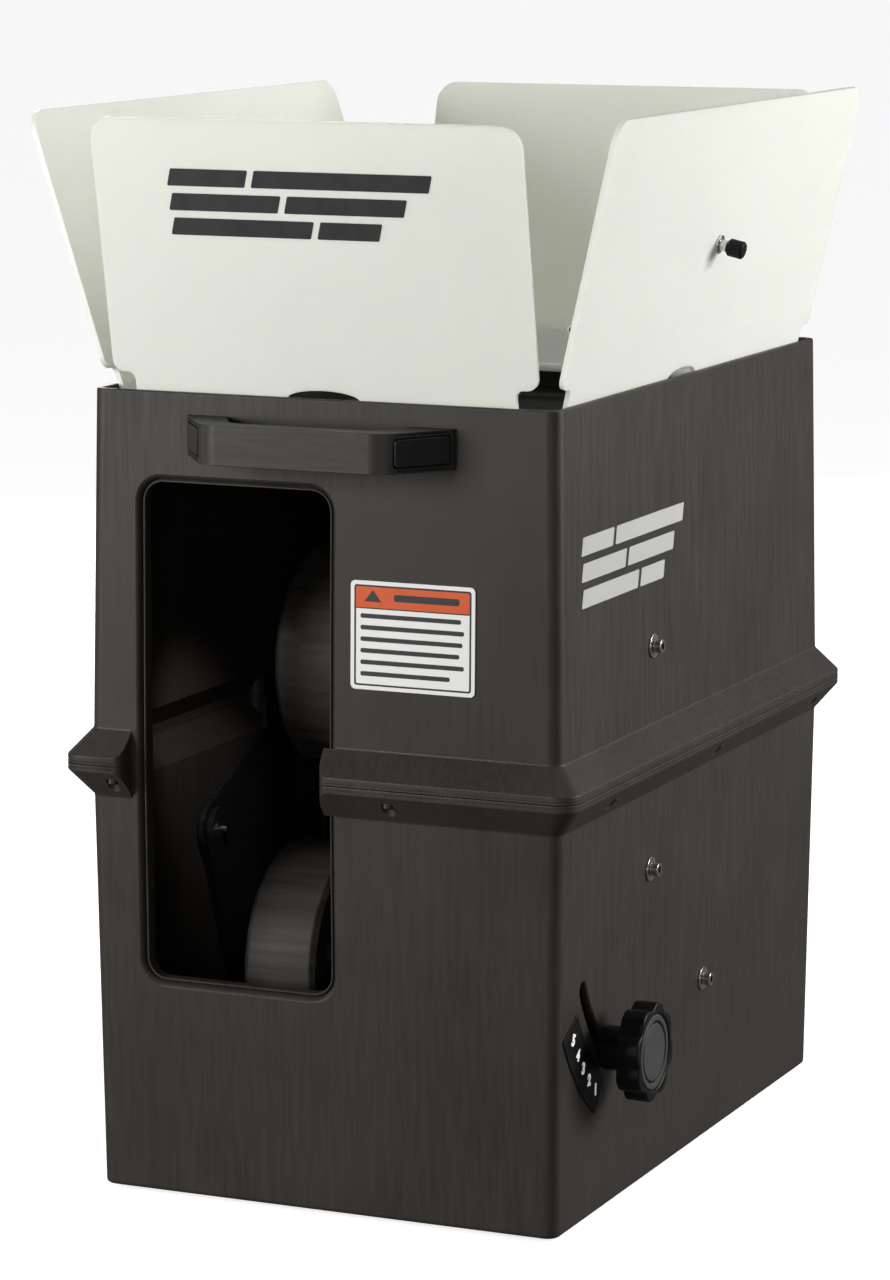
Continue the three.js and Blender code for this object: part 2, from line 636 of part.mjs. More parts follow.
// The head's own frame has its origin on the pivot and throws along -Y; the group is tilted up.
const HEAD = {
  mainPlate: [-14, -9], rightPlate: [139, 143], leftArm: [-143, -139], rodRadius: 5, boss: 14,
  rods: [[83.9, -47.1], [75.1, -113.2]],
};
const WHEEL_CENTRES = {
  upper: [-WHEEL.ahead, WHEEL.above + WHEEL.spacing / 2],
  lower: [-WHEEL.ahead, WHEEL.above - WHEEL.spacing / 2],
};
const STUD_ANGLE = Math.PI + rad(SLOT.rest + HEAD_TILT);
const STUD = [SLOT.radius * Math.cos(STUD_ANGLE), SLOT.radius * Math.sin(STUD_ANGLE)];

function crossHole([y, z], radius) {
  return turnedX(rod(radius, -200, 200), SMALL_ROUND).translate(0, y, z);
}

function headPlates(head) {
  const { mainPlate, rightPlate, leftArm, rods, boss, rodRadius } = HEAD;
  const { upper, lower } = WHEEL_CENTRES;
  const rodHoles = rods.map((r) => crossHole(r, rodRadius + GAP));
  const pivotHole = crossHole([0, 0], 2.6);
  const mainOutline = roundedHull([
    [lower[0] - 12, lower[1] - 12], rods[1], rods[0], [upper[0] + 12, upper[1]],
    [upper[0] - 12, upper[1]],
  ], 22);
  add(head, 'head_main_plate', cut(
    slabX(mainOutline, ...mainPlate), ...rodHoles, crossHole(upper, 12), crossHole(lower, 12),
  ), aluminium);
  add(head, 'head_right_plate', cut(
    slabX(roundedHull([[0, 0], STUD, rods[1], rods[0]], boss), ...rightPlate),
    ...rodHoles, pivotHole, crossHole(STUD, 4 + GAP),
  ), aluminium);
  add(head, 'head_left_arm', cut(
    slabX(roundedHull([[0, 0], rods[1], rods[0]], boss), ...leftArm), ...rodHoles, pivotHole,
  ), aluminium);
  rods.forEach(([y, z], i) => {
    add(head, i ? 'lower_tie_rod' : 'upper_tie_rod',
      turnedX(rod(rodRadius, leftArm[0] - 1.4, rightPlate[1] + 1.4), SMALL_ROUND).translate(0, y, z), steel);
  });
}

function wheelAndMotor(head, name, [y, z]) {
  const [x0, x1] = [WHEEL.x - WHEEL.width / 2, WHEEL.x + WHEEL.width / 2];
  const { radius, hubRadius } = WHEEL;
  const tyre = turnedX([
    [hubRadius + GAP, x0], [radius - 2, x0], [radius, x0 + 3], [radius + 0.6, WHEEL.x], [radius, x1 - 3],
    [radius - 2, x1], [hubRadius + GAP, x1], [hubRadius + GAP, x0],
  ], ROUND);
  const plateEdge = HEAD.mainPlate[1];
  const hub = turnedX([
    [0, x0 + 6], [12, x0 + 6], [14, x0 + 14],
    [hubRadius - 6, x0 + 14], [hubRadius - 4, x0 + 2], [hubRadius, x0 + 2],
    [hubRadius, x1 - 2], [hubRadius - 4, x1 - 2], [hubRadius - 6, x1 - 14], [14, x1 - 14], [11, x1 + 2],
    [4, x1 + 2], [4, plateEdge + 2], [0, plateEdge + 2],
  ], 24);
  const motor = turnedX([
    [0, plateEdge + 4], [4.1, plateEdge + 4], [4.1, plateEdge - 4],
    [10, plateEdge - 4], [10, plateEdge + GAP], [29, plateEdge + GAP], [29, plateEdge + 76],
    [26, plateEdge + 80], [9, plateEdge + 80], [9, plateEdge + 86],
    [0, plateEdge + 86],
  ], 24);
  add(head, `${name}_tyre`, tyre.translate(0, y, z), treadRubber);
  add(head, `${name}_hub`, hub.translate(0, y, z), aluminium);
  add(head, `${name}_motor`, motor.translate(0, y, z), steel);
}

// The knob's outline: even lobes with round valleys between them.
function knobOutline() {
  const { radius, lobes } = KNOB;
  const [points, depth] = [lobes * 6, 2.6];
  return polygon(Array.from({ length: points }, (_, i) => {
    const a = 2 * Math.PI * i / points;
    const r = radius - depth * (0.5 - 0.5 * Math.cos(lobes * a)) ** 2;
    return [r * Math.cos(a), r * Math.sin(a)];
  }));
}

function elevationClamp(head) {
  const wall = sideX(PIVOT.z - 95) + 1;
  const { thickness, neckRadius, neckLength } = KNOB;
  const [y, z] = STUD;
  const [neckEnd, face] = [wall + neckLength, wall + neckLength + thickness];
  add(head, 'elevation_stud', turnedX([
    [0, 134], [7, 134], [7, 139 - GAP], [4, 139 - GAP], [4, face - 5], [0, face - 5],
  ], SMALL_ROUND).translate(0, y, z), steel);
  const neck = turnedX(rod(neckRadius, wall, neckEnd + 1), 24);
  const bore = turnedX(rod(4.1, wall - 1, face - 4), 24);
  const dish = turnedX([[0, face - 1.2], [22, face - 1.2], [23, face + 1], [0, face + 1]], ROUND);
  add(head, 'elevation_knob', cut(join(slabX(knobOutline(), neckEnd, face), neck), bore, dish)
    .translate(0, y, z), darkPlastic);
}

function throwingHead() {
  const head = new THREE.Group();
  head.position.set(0, PIVOT.y, PIVOT.z);
  head.rotation.x = -rad(HEAD_TILT);
  machine.add(head);
  headPlates(head);
  wheelAndMotor(head, 'upper_wheel', WHEEL_CENTRES.upper);
  wheelAndMotor(head, 'lower_wheel', WHEEL_CENTRES.lower);
  elevationClamp(head);
}

// ---------------------------------------------------------------- handle, label and scale

const HANDLE = { z: 470, height: 24, foot: 87, bar: 56, proud: 41, thickness: 14, footInner: 60, cap: 37 };

function carryHandle() {
  const { z, height, foot, bar, proud, thickness, footInner } = HANDLE;
  const back = -endY(z) - 0.6;
  const inner = bar - 8;
  const half = [
    [foot, 0], [bar + 6, proud - 6], [bar, proud - 1.5], [bar - 7, proud],
  ];
  const underside = [[inner - 8, proud - thickness], [inner, proud - thickness - 3], [footInner, 0]];
  const mirror = (points) => points.map(([x, d]) => [-x, d]).reverse();
  const outline = [...half, ...mirror(half), ...mirror(underside).reverse().reverse(), ...underside];
  const shape = polygon(outline.map(([x, d]) => [x, back - d]));
  const bar3d = slabZ(shape, z - height / 2, z + height / 2);
  const caps = [-1, 1].map((side) => handleCap(side, back));
  add(machine, 'carry_handle', cut(bar3d, ...caps.map((c) => c.pocket)), gripPlastic);
  caps.forEach((c, i) => add(machine, i ? 'handle_cap_right' : 'handle_cap_left', c.cap, darkPlastic));
}

// The cover over the screw in each sloping end, and the pocket that it sits in.
function handleCap(side, back) {
  const { z, foot, bar, proud, cap } = HANDLE;
  const along = Math.atan2(proud - 6, foot - bar - 6);
  const plate = (grow, depth) => new THREE.BoxGeometry(cap + 2 * grow, depth, 16.5 + 2 * grow)
    .rotateZ(side * along)
    .translate(side * (foot + bar + 6) / 2, back - (proud - 6) / 2, z);
  return { cap: plate(0, 2.4), pocket: plate(GAP, 3.2) };
}

function frontLabel() {
  const [x0, x1, z0, z1] = [20.5, 100.5, 324.5, 389.5];
  const tilt = Math.atan2(HOUSING.draft, HOUSING.height - HOUSING.seam);
  const label = new THREE.Mesh(
    slabY(roundedRectangle(-(x1 - x0) / 2, -(z1 - z0) / 2, (x1 - x0) / 2, (z1 - z0) / 2, 3), -0.6, 0, 3),
    labelWhite,
  );
  label.name = 'front_label';
  label.position.set((x0 + x1) / 2, -endY((z0 + z1) / 2) - GAP, (z0 + z1) / 2);
  label.rotation.x = -tilt;
  machine.add(label);
}

// The scale beside the slot, a band about the pivot.
function scalePlate() {
  const [radius, width] = [146, 25];
  const tilt = Math.atan2(HOUSING.draft, HOUSING.seam);
  const [middleY, middleZ] = [PIVOT.y - radius * 0.65, PIVOT.z - radius * 0.75];
  const plate = new THREE.Mesh(
    slabX(arcBand(radius, width, 29, 57.5, false), 0, 0.6, 8).translate(0, -middleY, -middleZ),
    darkPlastic,
  );
  plate.name = 'scale_plate';
  plate.position.set(sideX(middleZ) + GAP, middleY, middleZ);
  plate.rotation.y = tilt;
  machine.add(plate);
}

// ---------------------------------------------------------------- power and controls

function batteryPack() {
  const body = slabZ(roundedRectangle(-75.5, 96, 75.5, 194, 4), HOUSING.wall + GAP, 98, 3);
  const post = (x) => box(x - 5, 108, 90, x + 5, 118, 104);
  add(machine, 'battery', join(body, post(-62), post(62)), batteryBlack);
}

function controls() {
  const { halfX, z0, z1 } = CONTROL;
  const middle = (z0 + z1) / 2;
  const tilt = Math.atan2(HOUSING.draft, HOUSING.height - HOUSING.seam);
  // The panel's own frame: its outer face towards +Y, its origin at the middle of its inner face.
  const panel = new THREE.Group();
  panel.position.set(0, endY(middle) + 0.4, middle);
  panel.rotation.x = tilt;
  machine.add(panel);

  const places = { speed: [-42, 12], feed: [0, 12], power: [44, 12], socket: [44, -26] };
  const round = (name, r) => turnedZ(rod(r, -10, 10), SMALL_ROUND).rotateX(-Math.PI / 2)
    .translate(places[name][0], 0, places[name][1]);
  const sheet = slabY(roundedRectangle(-halfX, (z0 - z1) / 2, halfX, (z1 - z0) / 2, 6), 0, 3, 4);
  const [px, pz] = places.power;
  add(panel, 'control_panel', cut(
    sheet, round('speed', 4), round('feed', 4), round('socket', 8.3),
    box(px - 14, -10, pz - 9.5, px + 14, 10, pz + 9.5),
  ), darkPlastic);

  // A dial with a shaft through the panel, an index rib, and a fluted skirt.
  const dial = turnedZ([
    [0, -8], [3, -8], [3, 3 + GAP], [13, 3 + GAP], [13, 5.5], [10.5, 7], [9.5, 18], [8.5, 19], [0, 19],
  ], 20).rotateX(-Math.PI / 2);
  const rib = box(-1, 17, 0, 1, 20, 9);
  for (const name of ['speed', 'feed']) {
    add(panel, `${name}_dial`, join(dial, rib).translate(places[name][0], 0, places[name][1]), darkPlastic);
  }

  const frame = join(
    box(px - 13.7, -9, pz - 9.2, px + 13.7, 3.1, pz + 9.2),
    box(px - 16, 3 + GAP, pz - 11.5, px + 16, 5, pz + 11.5),
    box(px - 13.7, 3, pz - 9.2, px + 13.7, 5, pz + 9.2),
  );
  const well = box(px - 10.5, -2, pz - 7, px + 10.5, 10, pz + 7);
  add(panel, 'power_switch_frame', cut(frame, well), darkPlastic);
  // The rocker tips about a line across its middle, from one side pressed in to the other.
  const rocker = polygon([[-9.5, 3.5], [0, 4.3], [9.5, 3.5], [8.5, -0.9], [0, -2.1], [-8.5, -0.9]]);
  add(panel, 'power_rocker', slabZ(rocker, -6.5, 6.5).rotateZ(rad(8)).translate(px, 1.5, pz), gripPlastic);

  add(panel, 'charge_socket', turnedZ([
    [3, -12], [8, -12], [8, 3 + GAP], [11, 3 + GAP], [11, 5], [5, 5], [5, -8], [3, -8], [3, -12],
  ], SMALL_ROUND).rotateX(-Math.PI / 2).translate(places.socket[0], 0, places.socket[1]), steel);

  // The circuit board stands behind the panel, with its heat sink towards the front.
  add(panel, 'control_board', join(
    box(-58, -26, -34, 58, -24, 34),
    box(-50, -40, -20, -14, -26 + 0.2, 20),
    box(6, -36, -24, 30, -26 + 0.2, -4),
    box(6, -32, 6, 44, -26 + 0.2, 26),
  ), boardGreen);
}

housing();
chassisPlates();
hopper();
feeder();
throwingHead();
carryHandle();
frontLabel();
scalePlate();
batteryPack();
controls();

export default machine;
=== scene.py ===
"""The looks of a portable tennis ball machine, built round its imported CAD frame.

Shapes are drawn in millimetres from the middle of the housing's underside: +X to the right seen from
the front, -Y to the front, +Z up. dress() turns them into metres in the frame's own place.
"""

import json
import math

import bmesh
import bpy
from mathutils import Matrix, Vector


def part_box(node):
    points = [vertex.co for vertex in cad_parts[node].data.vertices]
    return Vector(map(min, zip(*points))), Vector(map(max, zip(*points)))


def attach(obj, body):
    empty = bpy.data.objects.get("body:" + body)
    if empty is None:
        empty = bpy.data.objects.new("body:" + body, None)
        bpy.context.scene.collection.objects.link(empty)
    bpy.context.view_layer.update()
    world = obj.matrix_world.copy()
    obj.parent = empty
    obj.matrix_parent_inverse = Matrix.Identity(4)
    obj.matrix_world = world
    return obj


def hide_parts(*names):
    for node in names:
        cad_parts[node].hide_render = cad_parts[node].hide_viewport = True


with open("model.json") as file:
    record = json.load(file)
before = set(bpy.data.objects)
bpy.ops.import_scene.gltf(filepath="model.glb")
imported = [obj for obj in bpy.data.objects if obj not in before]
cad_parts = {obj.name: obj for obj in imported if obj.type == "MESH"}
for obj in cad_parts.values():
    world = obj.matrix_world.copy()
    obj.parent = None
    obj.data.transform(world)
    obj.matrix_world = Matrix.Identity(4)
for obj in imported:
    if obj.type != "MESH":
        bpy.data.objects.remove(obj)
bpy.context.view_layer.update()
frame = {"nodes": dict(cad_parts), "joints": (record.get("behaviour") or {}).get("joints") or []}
NODES = frame["nodes"]
JOINTS = {j["name"]: j for j in frame["joints"]}
MM = 0.001
rad = math.radians

low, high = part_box("lower_housing")
HOME = Vector(((low.x + high.x) / 2, (low.y + high.y) / 2, low.z))
IN_MM = Matrix.Translation(HOME) @ Matrix.Scale(MM, 4)


def joint_at(name):
    """Where a joint stands, in millimetres from the housing's own origin."""
    return (Vector(JOINTS[name]["pos_m"]) - HOME) / MM


# ---------------------------------------------------------------- driving dimensions

HALF_X, HALF_Y, HEIGHT, WALL, DRAFT, CORNER = 155, 229, 495, 4, 3.6, 8
SEAM, SEAM_GAP = 267, 0.3
RIDGE = {"reach": 13, "top": 287.5, "band_top": 272, "band_low": 262.5, "low": 246}
RIDGE_GAP = (-126, 3)
OPENING = {"x0": -117.5, "x1": 5, "z0": 135, "z1": 440, "corner": 12, "roll": 6}
FRAME_EDGE, FRAME_DEPTH = 8, 12
BEND = 1.4
BOSS_RADIUS = 6.8
SCREW_POCKET = {"radius": 4.3, "start": 8, "depth": 20.5}
FOOT_X, FOOT_Y = 125, 195
SLOT = {"radius": 119.3, "width": 10, "high": 26, "low": 68, "rest": 53}
HEAD_TILT = 14
WHEEL = {"radius": 70, "width": 48.6, "hub": 51.5, "x": -55}
PANELS = {
    "front": {"lean": 10.5, "rise": 167, "half": 137.8, "tab": 123.5, "notch": 0},
    "back": {"lean": 15, "rise": 167, "half": 137.8, "tab": 123.5, "notch": 0},
    "left": {"lean": 18, "rise": 172, "half": 213.8, "tab": 200, "notch": 0},
    "right": {"lean": 12.7, "rise": 171, "half": 215.6, "tab": 201, "notch": -15},
}
SHEET = 3
BEVEL_ANGLE = 35
WELL = {"y": 60, "radius": 121, "floor": 402, "edge": 430, "rim": 448, "sheet": 3, "hole": 37}
ROTOR = {"radius": 118, "pocket": 36, "centre": 84, "bottom": 403, "top": 433, "pockets": 5}

PIVOT = joint_at("elevation_tilt")


def draft_at(z):
    """How far the drafted wall stands inside its widest size at a height."""
    return DRAFT * abs(z - SEAM) / (HEIGHT - SEAM if z > SEAM else SEAM)


def side_x(z):
    return HALF_X - draft_at(z)


def end_y(z):
    return HALF_Y - draft_at(z)


# ---------------------------------------------------------------- shapes: (points, faces)

def fillet(points, radii, steps=5, closed=False):
    """A polyline with its corners rounded; radii is one number, or one for each point."""
    points = [Vector(p) for p in points]
    count = len(points)
    radii = [radii] * count if isinstance(radii, (int, float)) else radii
    out = []
    for i, (corner, radius) in enumerate(zip(points, radii)):
        before, after = points[i - 1] - corner, points[(i + 1) % count] - corner
        end = not closed and i in (0, count - 1)
        if end or radius <= 0 or before.length < 1e-6 or after.length < 1e-6 or before.angle(after) > 3.1:
            out.append(tuple(corner))
            continue
        reach = radius / math.tan(before.angle(after) / 2)
        reach = min(reach, 0.48 * before.length, 0.48 * after.length)
        a, b = corner + before.normalized() * reach, corner + after.normalized() * reach
        for k in range(steps + 1):
            s = k / steps
            out.append(tuple(a * (1 - s) ** 2 + corner * (2 * s * (1 - s)) + b * s ** 2))
    return out


def arc(x, y, r, start, end, steps=10):
    """Points along a circle, from one angle in degrees to another."""
    return [(x + r * math.cos(rad(start + (end - start) * k / steps)),
             y + r * math.sin(rad(start + (end - start) * k / steps))) for k in range(steps + 1)]


def rounded_rect(x0, y0, x1, y1, r, steps=8):
    return (arc(x1 - r, y1 - r, r, 0, 90, steps) + arc(x0 + r, y1 - r, r, 90, 180, steps)
            + arc(x0 + r, y0 + r, r, 180, 270, steps) + arc(x1 - r, y0 + r, r, 270, 360, steps))


def loft(rings, loop=False):
    """Rings of equally many points joined up, with flat ends, or end to end as a loop."""
    count = len(rings[0])
    points = [p for ring in rings for p in ring]
    faces = []
    for k in range(len(rings) if loop else len(rings) - 1):
        a, b = k * count, (k + 1) % len(rings) * count
        for i in range(count):
            j = (i + 1) % count
            faces.append([a + i, a + j, b + j, b + i])
    if not loop:
        faces.append(list(reversed(range(count))))
        faces.append(list(range(len(points) - count, len(points))))
    return points, faces


def slab(outline, z0, z1):
    return loft([[(x, y, z) for x, y in outline] for z in (z0, z1)])


def lathe(profile, sides=64, loop=False):
    """A profile of (radius, distance) pairs turned about the local Z axis."""
    rings = [[(r * math.cos(2 * math.pi * i / sides), r * math.sin(2 * math.pi * i / sides), d)
              for i in range(sides)] for r, d in profile]
    return loft(rings, loop)


def moved(shape, matrix):
    points, faces = shape
    return [matrix @ Vector(p) for p in points], faces


def lettering(text, size, depth, weight=0.0):
    """A digit as a shape, standing in the local XY plane, centred."""
    curve = bpy.data.curves.new("digit", "FONT")
    curve.body, curve.size, curve.extrude = text, size, depth / 2
    curve.align_x, curve.align_y, curve.offset = "CENTER", "CENTER", weight
    curve.resolution_u = 4
    holder = bpy.data.objects.new("digit", curve)
    bpy.context.scene.collection.objects.link(holder)
    mesh = bpy.data.meshes.new_from_object(holder.evaluated_get(bpy.context.evaluated_depsgraph_get()))
    shape = [Vector(v.co) for v in mesh.vertices], [list(p.vertices) for p in mesh.polygons]
    bpy.data.objects.remove(holder)
    bpy.data.curves.remove(curve)
    bpy.data.meshes.remove(mesh)
    return shape


def make(name, *shapes):
    """A mesh object of one or more shapes, its faces turned outwards."""
    mesh = bpy.data.meshes.new(name)
    work = bmesh.new()
    for points, faces in shapes:
        verts = [work.verts.new(p) for p in points]
        for face in faces:
            work.faces.new([verts[i] for i in face])
    bmesh.ops.remove_doubles(work, verts=work.verts, dist=1e-3)
    bmesh.ops.dissolve_degenerate(work, edges=work.edges, dist=1e-4)
    bmesh.ops.recalc_face_normals(work, faces=work.faces)
    work.to_mesh(mesh)
    work.free()
    obj = bpy.data.objects.new(name, mesh)
    bpy.context.scene.collection.objects.link(obj)
    return obj


def combine(obj, shapes, operation="DIFFERENCE"):
    """Cuts shapes out of obj, or joins them to it, and keeps the result as its mesh."""
    tools = [make("tool", shape) for shape in shapes]
    for tool in tools:
        step = obj.modifiers.new("tool", "BOOLEAN")
        step.operation, step.solver, step.object = operation, "EXACT", tool
    bpy.context.view_layer.update()
    result = bpy.data.meshes.new_from_object(obj.evaluated_get(bpy.context.evaluated_depsgraph_get()))
    obj.modifiers.clear()
    old, obj.data = obj.data, result
    bpy.data.meshes.remove(old)
    for tool in tools:
        bpy.data.objects.remove(tool)
    return obj


def soften(obj, width, segments=3):
    """Bevels an object's edges, by a width in millimetres."""
    edges = obj.modifiers.new("edges", "BEVEL")
    edges.width, edges.segments, edges.limit_method = width * MM, segments, "ANGLE"
    edges.angle_limit, edges.harden_normals = rad(BEVEL_ANGLE), True


def dress(obj, body, material, replaces=(), place=Matrix(), edge=0, segments=3, sharp=40):
    """Puts a piece in place on its body, with its finish."""
    obj.data.transform(IN_MM @ place)
    obj.data.materials.clear()
    obj.data.materials.append(material)
    for face in obj.data.polygons:
        face.use_smooth = True
    obj.data.set_sharp_from_angle(angle=rad(sharp))
    if edge:
        soften(obj, edge, segments)
    obj.modifiers.new("normals", "WEIGHTED_NORMAL").keep_sharp = True
    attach(obj, body)
    if replaces:
        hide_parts(*([replaces] if isinstance(replaces, str) else replaces))
    return obj


def keep(node, material, edge=0.5):
    """A CAD node that stays, with its edges rounded off and a finish."""
    obj = NODES[node]
    obj.data.materials.clear()
    obj.data.materials.append(material)
    obj.modifiers.new("weld", "WELD").merge_threshold = 1e-5
    soften(obj, edge, 2)
    return obj


# ---------------------------------------------------------------- places

OUT = {"front": (0, -1, 0), "back": (0, 1, 0), "left": (-1, 0, 0), "right": (1, 0, 0)}
AXIS_X = Matrix.Rotation(rad(90), 4, "Y")


def facing(side):
    """Turns local axes to: X to the right seen from outside, Y up, Z out through that side."""
    out, up = Vector(OUT[side]), Vector((0, 0, 1))
    across = up.cross(out)
    return Matrix((across, up, out)).transposed().to_4x4()


def on_wall(side, along, z):
    """A place on a side's outer face; along is the X or Y coordinate there."""
    tilt = math.atan2(DRAFT, HEIGHT - SEAM) if z > SEAM else -math.atan2(DRAFT, SEAM)
    distance = end_y(z) if side in ("front", "back") else side_x(z)
    point = Vector(OUT[side]) * distance
    point += Vector((along, 0, z)) if side in ("front", "back") else Vector((0, along, z))
    return Matrix.Translation(point) @ facing(side) @ Matrix.Rotation(-tilt, 4, "X")


def panel_place(side):
    """A hopper panel's own place: X along its hinge, Y up the sheet, Z out."""
    lean = Matrix.Rotation(rad(PANELS[side]["lean"]), 4, "X")
    return Matrix.Translation(joint_at(side + "_panel_fold")) @ facing(side) @ lean


HEAD = Matrix.Translation(PIVOT) @ Matrix.Rotation(-rad(HEAD_TILT), 4, "X")
WHEEL_AT = {name: HEAD.inverted() @ joint_at(name + "_wheel_spin") for name in ("upper", "lower")}


# ---------------------------------------------------------------- materials

def finish(name, colour, roughness, metal=0.0, streak=None, cloud=0.0, grain=0.0, grain_size=0.8,
           bump=0.0, specular=0.5, wear=0.0, glow=0.0, spread=0.15, emit=0.0):
    """A surface with cloudy variation, streaks along an axis, a fine grain and paler edges."""
    material = bpy.data.materials.new(name)
    material.use_nodes = True
    tree = material.node_tree
    nodes, links = tree.nodes, tree.links
    shader = nodes["Principled BSDF"]
    shader.inputs["Metallic"].default_value = metal
    shader.inputs["Specular IOR Level"].default_value = specular
    # With emit the surface also glows in its own colour: painted light on the milky sheets, the bright ink
    # and the label card; on the floor it keeps the backdrop evenly white.
    shader.inputs["Emission Color"].default_value = (*colour, 1)
    shader.inputs["Emission Strength"].default_value = emit
    if glow:
        shader.inputs["Subsurface Weight"].default_value = glow
        shader.inputs["Subsurface Radius"].default_value = (1.0, 1.0, 0.8)
        shader.inputs["Subsurface Scale"].default_value = 0.006
    place = nodes.new("ShaderNodeTexCoord").outputs["Object"]

    def noise(scale, detail=3.0, roughness_=0.55):
        mapping = nodes.new("ShaderNodeMapping")
        mapping.inputs["Scale"].default_value = scale
        links.new(place, mapping.inputs["Vector"])
        texture = nodes.new("ShaderNodeTexNoise")
        texture.inputs["Scale"].default_value = 1.0
        texture.inputs["Detail"].default_value = detail
        texture.inputs["Roughness"].default_value = roughness_
        links.new(mapping.outputs["Vector"], texture.inputs["Vector"])
        return texture.outputs["Fac"]

    def ranged(value, out_low, out_high, in_low=0.3, in_high=0.7):
        node = nodes.new("ShaderNodeMapRange")
        limits = {"From Min": in_low, "From Max": in_high, "To Min": out_low, "To Max": out_high}
        for key, number in limits.items():
            node.inputs[key].default_value = number
        links.new(value, node.inputs["Value"])
        return node.outputs["Result"]

    def times(a, b):
        node = nodes.new("ShaderNodeMath")
        node.operation = "MULTIPLY"
        links.new(a, node.inputs[0])
        links.new(b, node.inputs[1])
        return node.outputs["Value"]

    tone = ranged(noise((14, 14, 14), 2), 1 - cloud, 1 + cloud)
    height = noise((1 / (grain_size * MM),) * 3, 2)
    if streak:
        lines = noise(streak["scale"], 4, 0.65)
        tone = times(tone, ranged(lines, 1 - streak["tone"], 1 + streak["tone"]))
    if grain:
        tone = times(tone, ranged(height, 1 - grain, 1 + grain))
    colours = nodes.new("ShaderNodeVectorMath")
    colours.operation = "SCALE"
    colours.inputs[0].default_value = colour
    links.new(tone, colours.inputs["Scale"])
    base = colours.outputs["Vector"]
    if wear:
        rounding = nodes.new("ShaderNodeBevel")
        rounding.samples = 4
        rounding.inputs["Radius"].default_value = 1.2 * MM
        geometry = nodes.new("ShaderNodeNewGeometry")
        dot = nodes.new("ShaderNodeVectorMath")
        dot.operation = "DOT_PRODUCT"
        links.new(rounding.outputs["Normal"], dot.inputs[0])
        links.new(geometry.outputs["Normal"], dot.inputs[1])
        edge = ranged(dot.outputs["Value"], 1.0, 0.0, 0.8, 1.0)
        mix = nodes.new("ShaderNodeMix")
        mix.data_type = "RGBA"
        links.new(times(edge, ranged(noise((60, 60, 60), 3), 0.0, wear)), mix.inputs["Factor"])
        links.new(base, mix.inputs["A"])
        mix.inputs["B"].default_value = (*(min(1, c * 2.6 + 0.03) for c in colour), 1)
        base = mix.outputs["Result"]
    links.new(base, shader.inputs["Base Color"])
    rough_source = noise(streak["scale"], 2) if streak else noise((90, 90, 90), 2)
    rough = ranged(rough_source, roughness * (1 - spread), roughness * (1 + spread))
    links.new(rough, shader.inputs["Roughness"])
    if bump:
        relief = nodes.new("ShaderNodeBump")
        relief.inputs["Strength"].default_value = bump
        relief.inputs["Distance"].default_value = 0.1 * MM
        source = height
        if streak:
            add = nodes.new("ShaderNodeMath")
            links.new(height, add.inputs[0])
            links.new(lines, add.inputs[1])
            source = add.outputs["Value"]
        links.new(source, relief.inputs["Height"])
        links.new(relief.outputs["Normal"], shader.inputs["Normal"])
    return material


UPRIGHT = {"scale": (300, 300, 22), "tone": 0.09}
BLACK = finish("housing_black", (0.039, 0.0335, 0.0275), 0.48, streak=UPRIGHT, cloud=0.13, grain=0.05,
               bump=0.35, specular=0.29, wear=0.5)
GRIP = finish("grip_black", (0.031, 0.028, 0.023), 0.5, streak={"scale": (30, 400, 400), "tone": 0.1},
              cloud=0.06, bump=0.4, specular=0.4, wear=0.35)
GLOSSY = finish("cap_black", (0.012, 0.012, 0.012), 0.22, cloud=0.05, grain=0.05, bump=0.1, specular=0.5)
KNOB_SIDE = finish("knob_black", (0.004, 0.004, 0.004), 0.42, specular=0.2, cloud=0.05, grain=0.1,
                   bump=0.3, wear=0.2)
KNOB_FACE = finish("knob_face", (0.045, 0.045, 0.045), 0.6, cloud=0.06, grain=0.12, grain_size=0.5, bump=0.5)
# The milky sheet carries a faint emission: painted glow that makes the hopper panels lighter than the lamps
# make them.
MILKY_PAINTED_GLOW = finish("milky_sheet_painted_glow", (0.88, 0.905, 0.805), 0.34, emit=0.09, cloud=0.015, grain=0.01, bump=0.12,
               glow=0.55, specular=0.4)
INK = finish("ink_black", (0.018, 0.018, 0.018), 0.45, cloud=0.05, grain=0.08, bump=0.1)
PLATE = finish("plate_black", (0.004, 0.004, 0.004), 0.5, specular=0.2, cloud=0.05, grain=0.08, bump=0.1)
# The bright ink glows by emission: painted light that keeps the scale's digits white where they lie in shade.
BRIGHT_INK_PAINTED_GLOW = finish("ink_bright_painted_glow", (0.86, 0.86, 0.83), 0.45, emit=0.4, cloud=0.02, grain=0.03, bump=0.05)
WHITE_INK = finish("ink_white", (0.62, 0.62, 0.60), 0.45, cloud=0.03, grain=0.04, bump=0.1)
STEEL = finish("steel", (0.62, 0.61, 0.59), 0.26, metal=1, streak={"scale": (900, 900, 900), "tone": 0.08},
               cloud=0.04, bump=0.15)
STEEL_DARK = finish("blackened_steel", (0.10, 0.10, 0.10), 0.35, metal=1, cloud=0.1, grain=0.1, bump=0.3)
ALUMINIUM = finish("aluminium", (0.5, 0.5, 0.51), 0.36, metal=1, cloud=0.05, bump=0.2,
                   streak={"scale": (60, 900, 900), "tone": 0.1})
BLACK_METAL = finish("painted_metal", (0.012, 0.012, 0.012), 0.5, cloud=0.08, grain=0.1, bump=0.5,
                     streak={"scale": (500, 30, 500), "tone": 0.15}, wear=0.3)
TREAD = finish("tread", (0.044, 0.039, 0.034), 0.58, streak={"scale": (8, 160, 160), "tone": 0.5}, cloud=0.3,
               bump=0.9, specular=0.35, spread=0.25)
RUBBER = finish("rubber", (0.012, 0.012, 0.012), 0.8, cloud=0.1, grain=0.1, bump=0.6, specular=0.25)
DARK = finish("inner_black", (0.010, 0.010, 0.010), 0.55, cloud=0.08, grain=0.08, bump=0.4, specular=0.3)
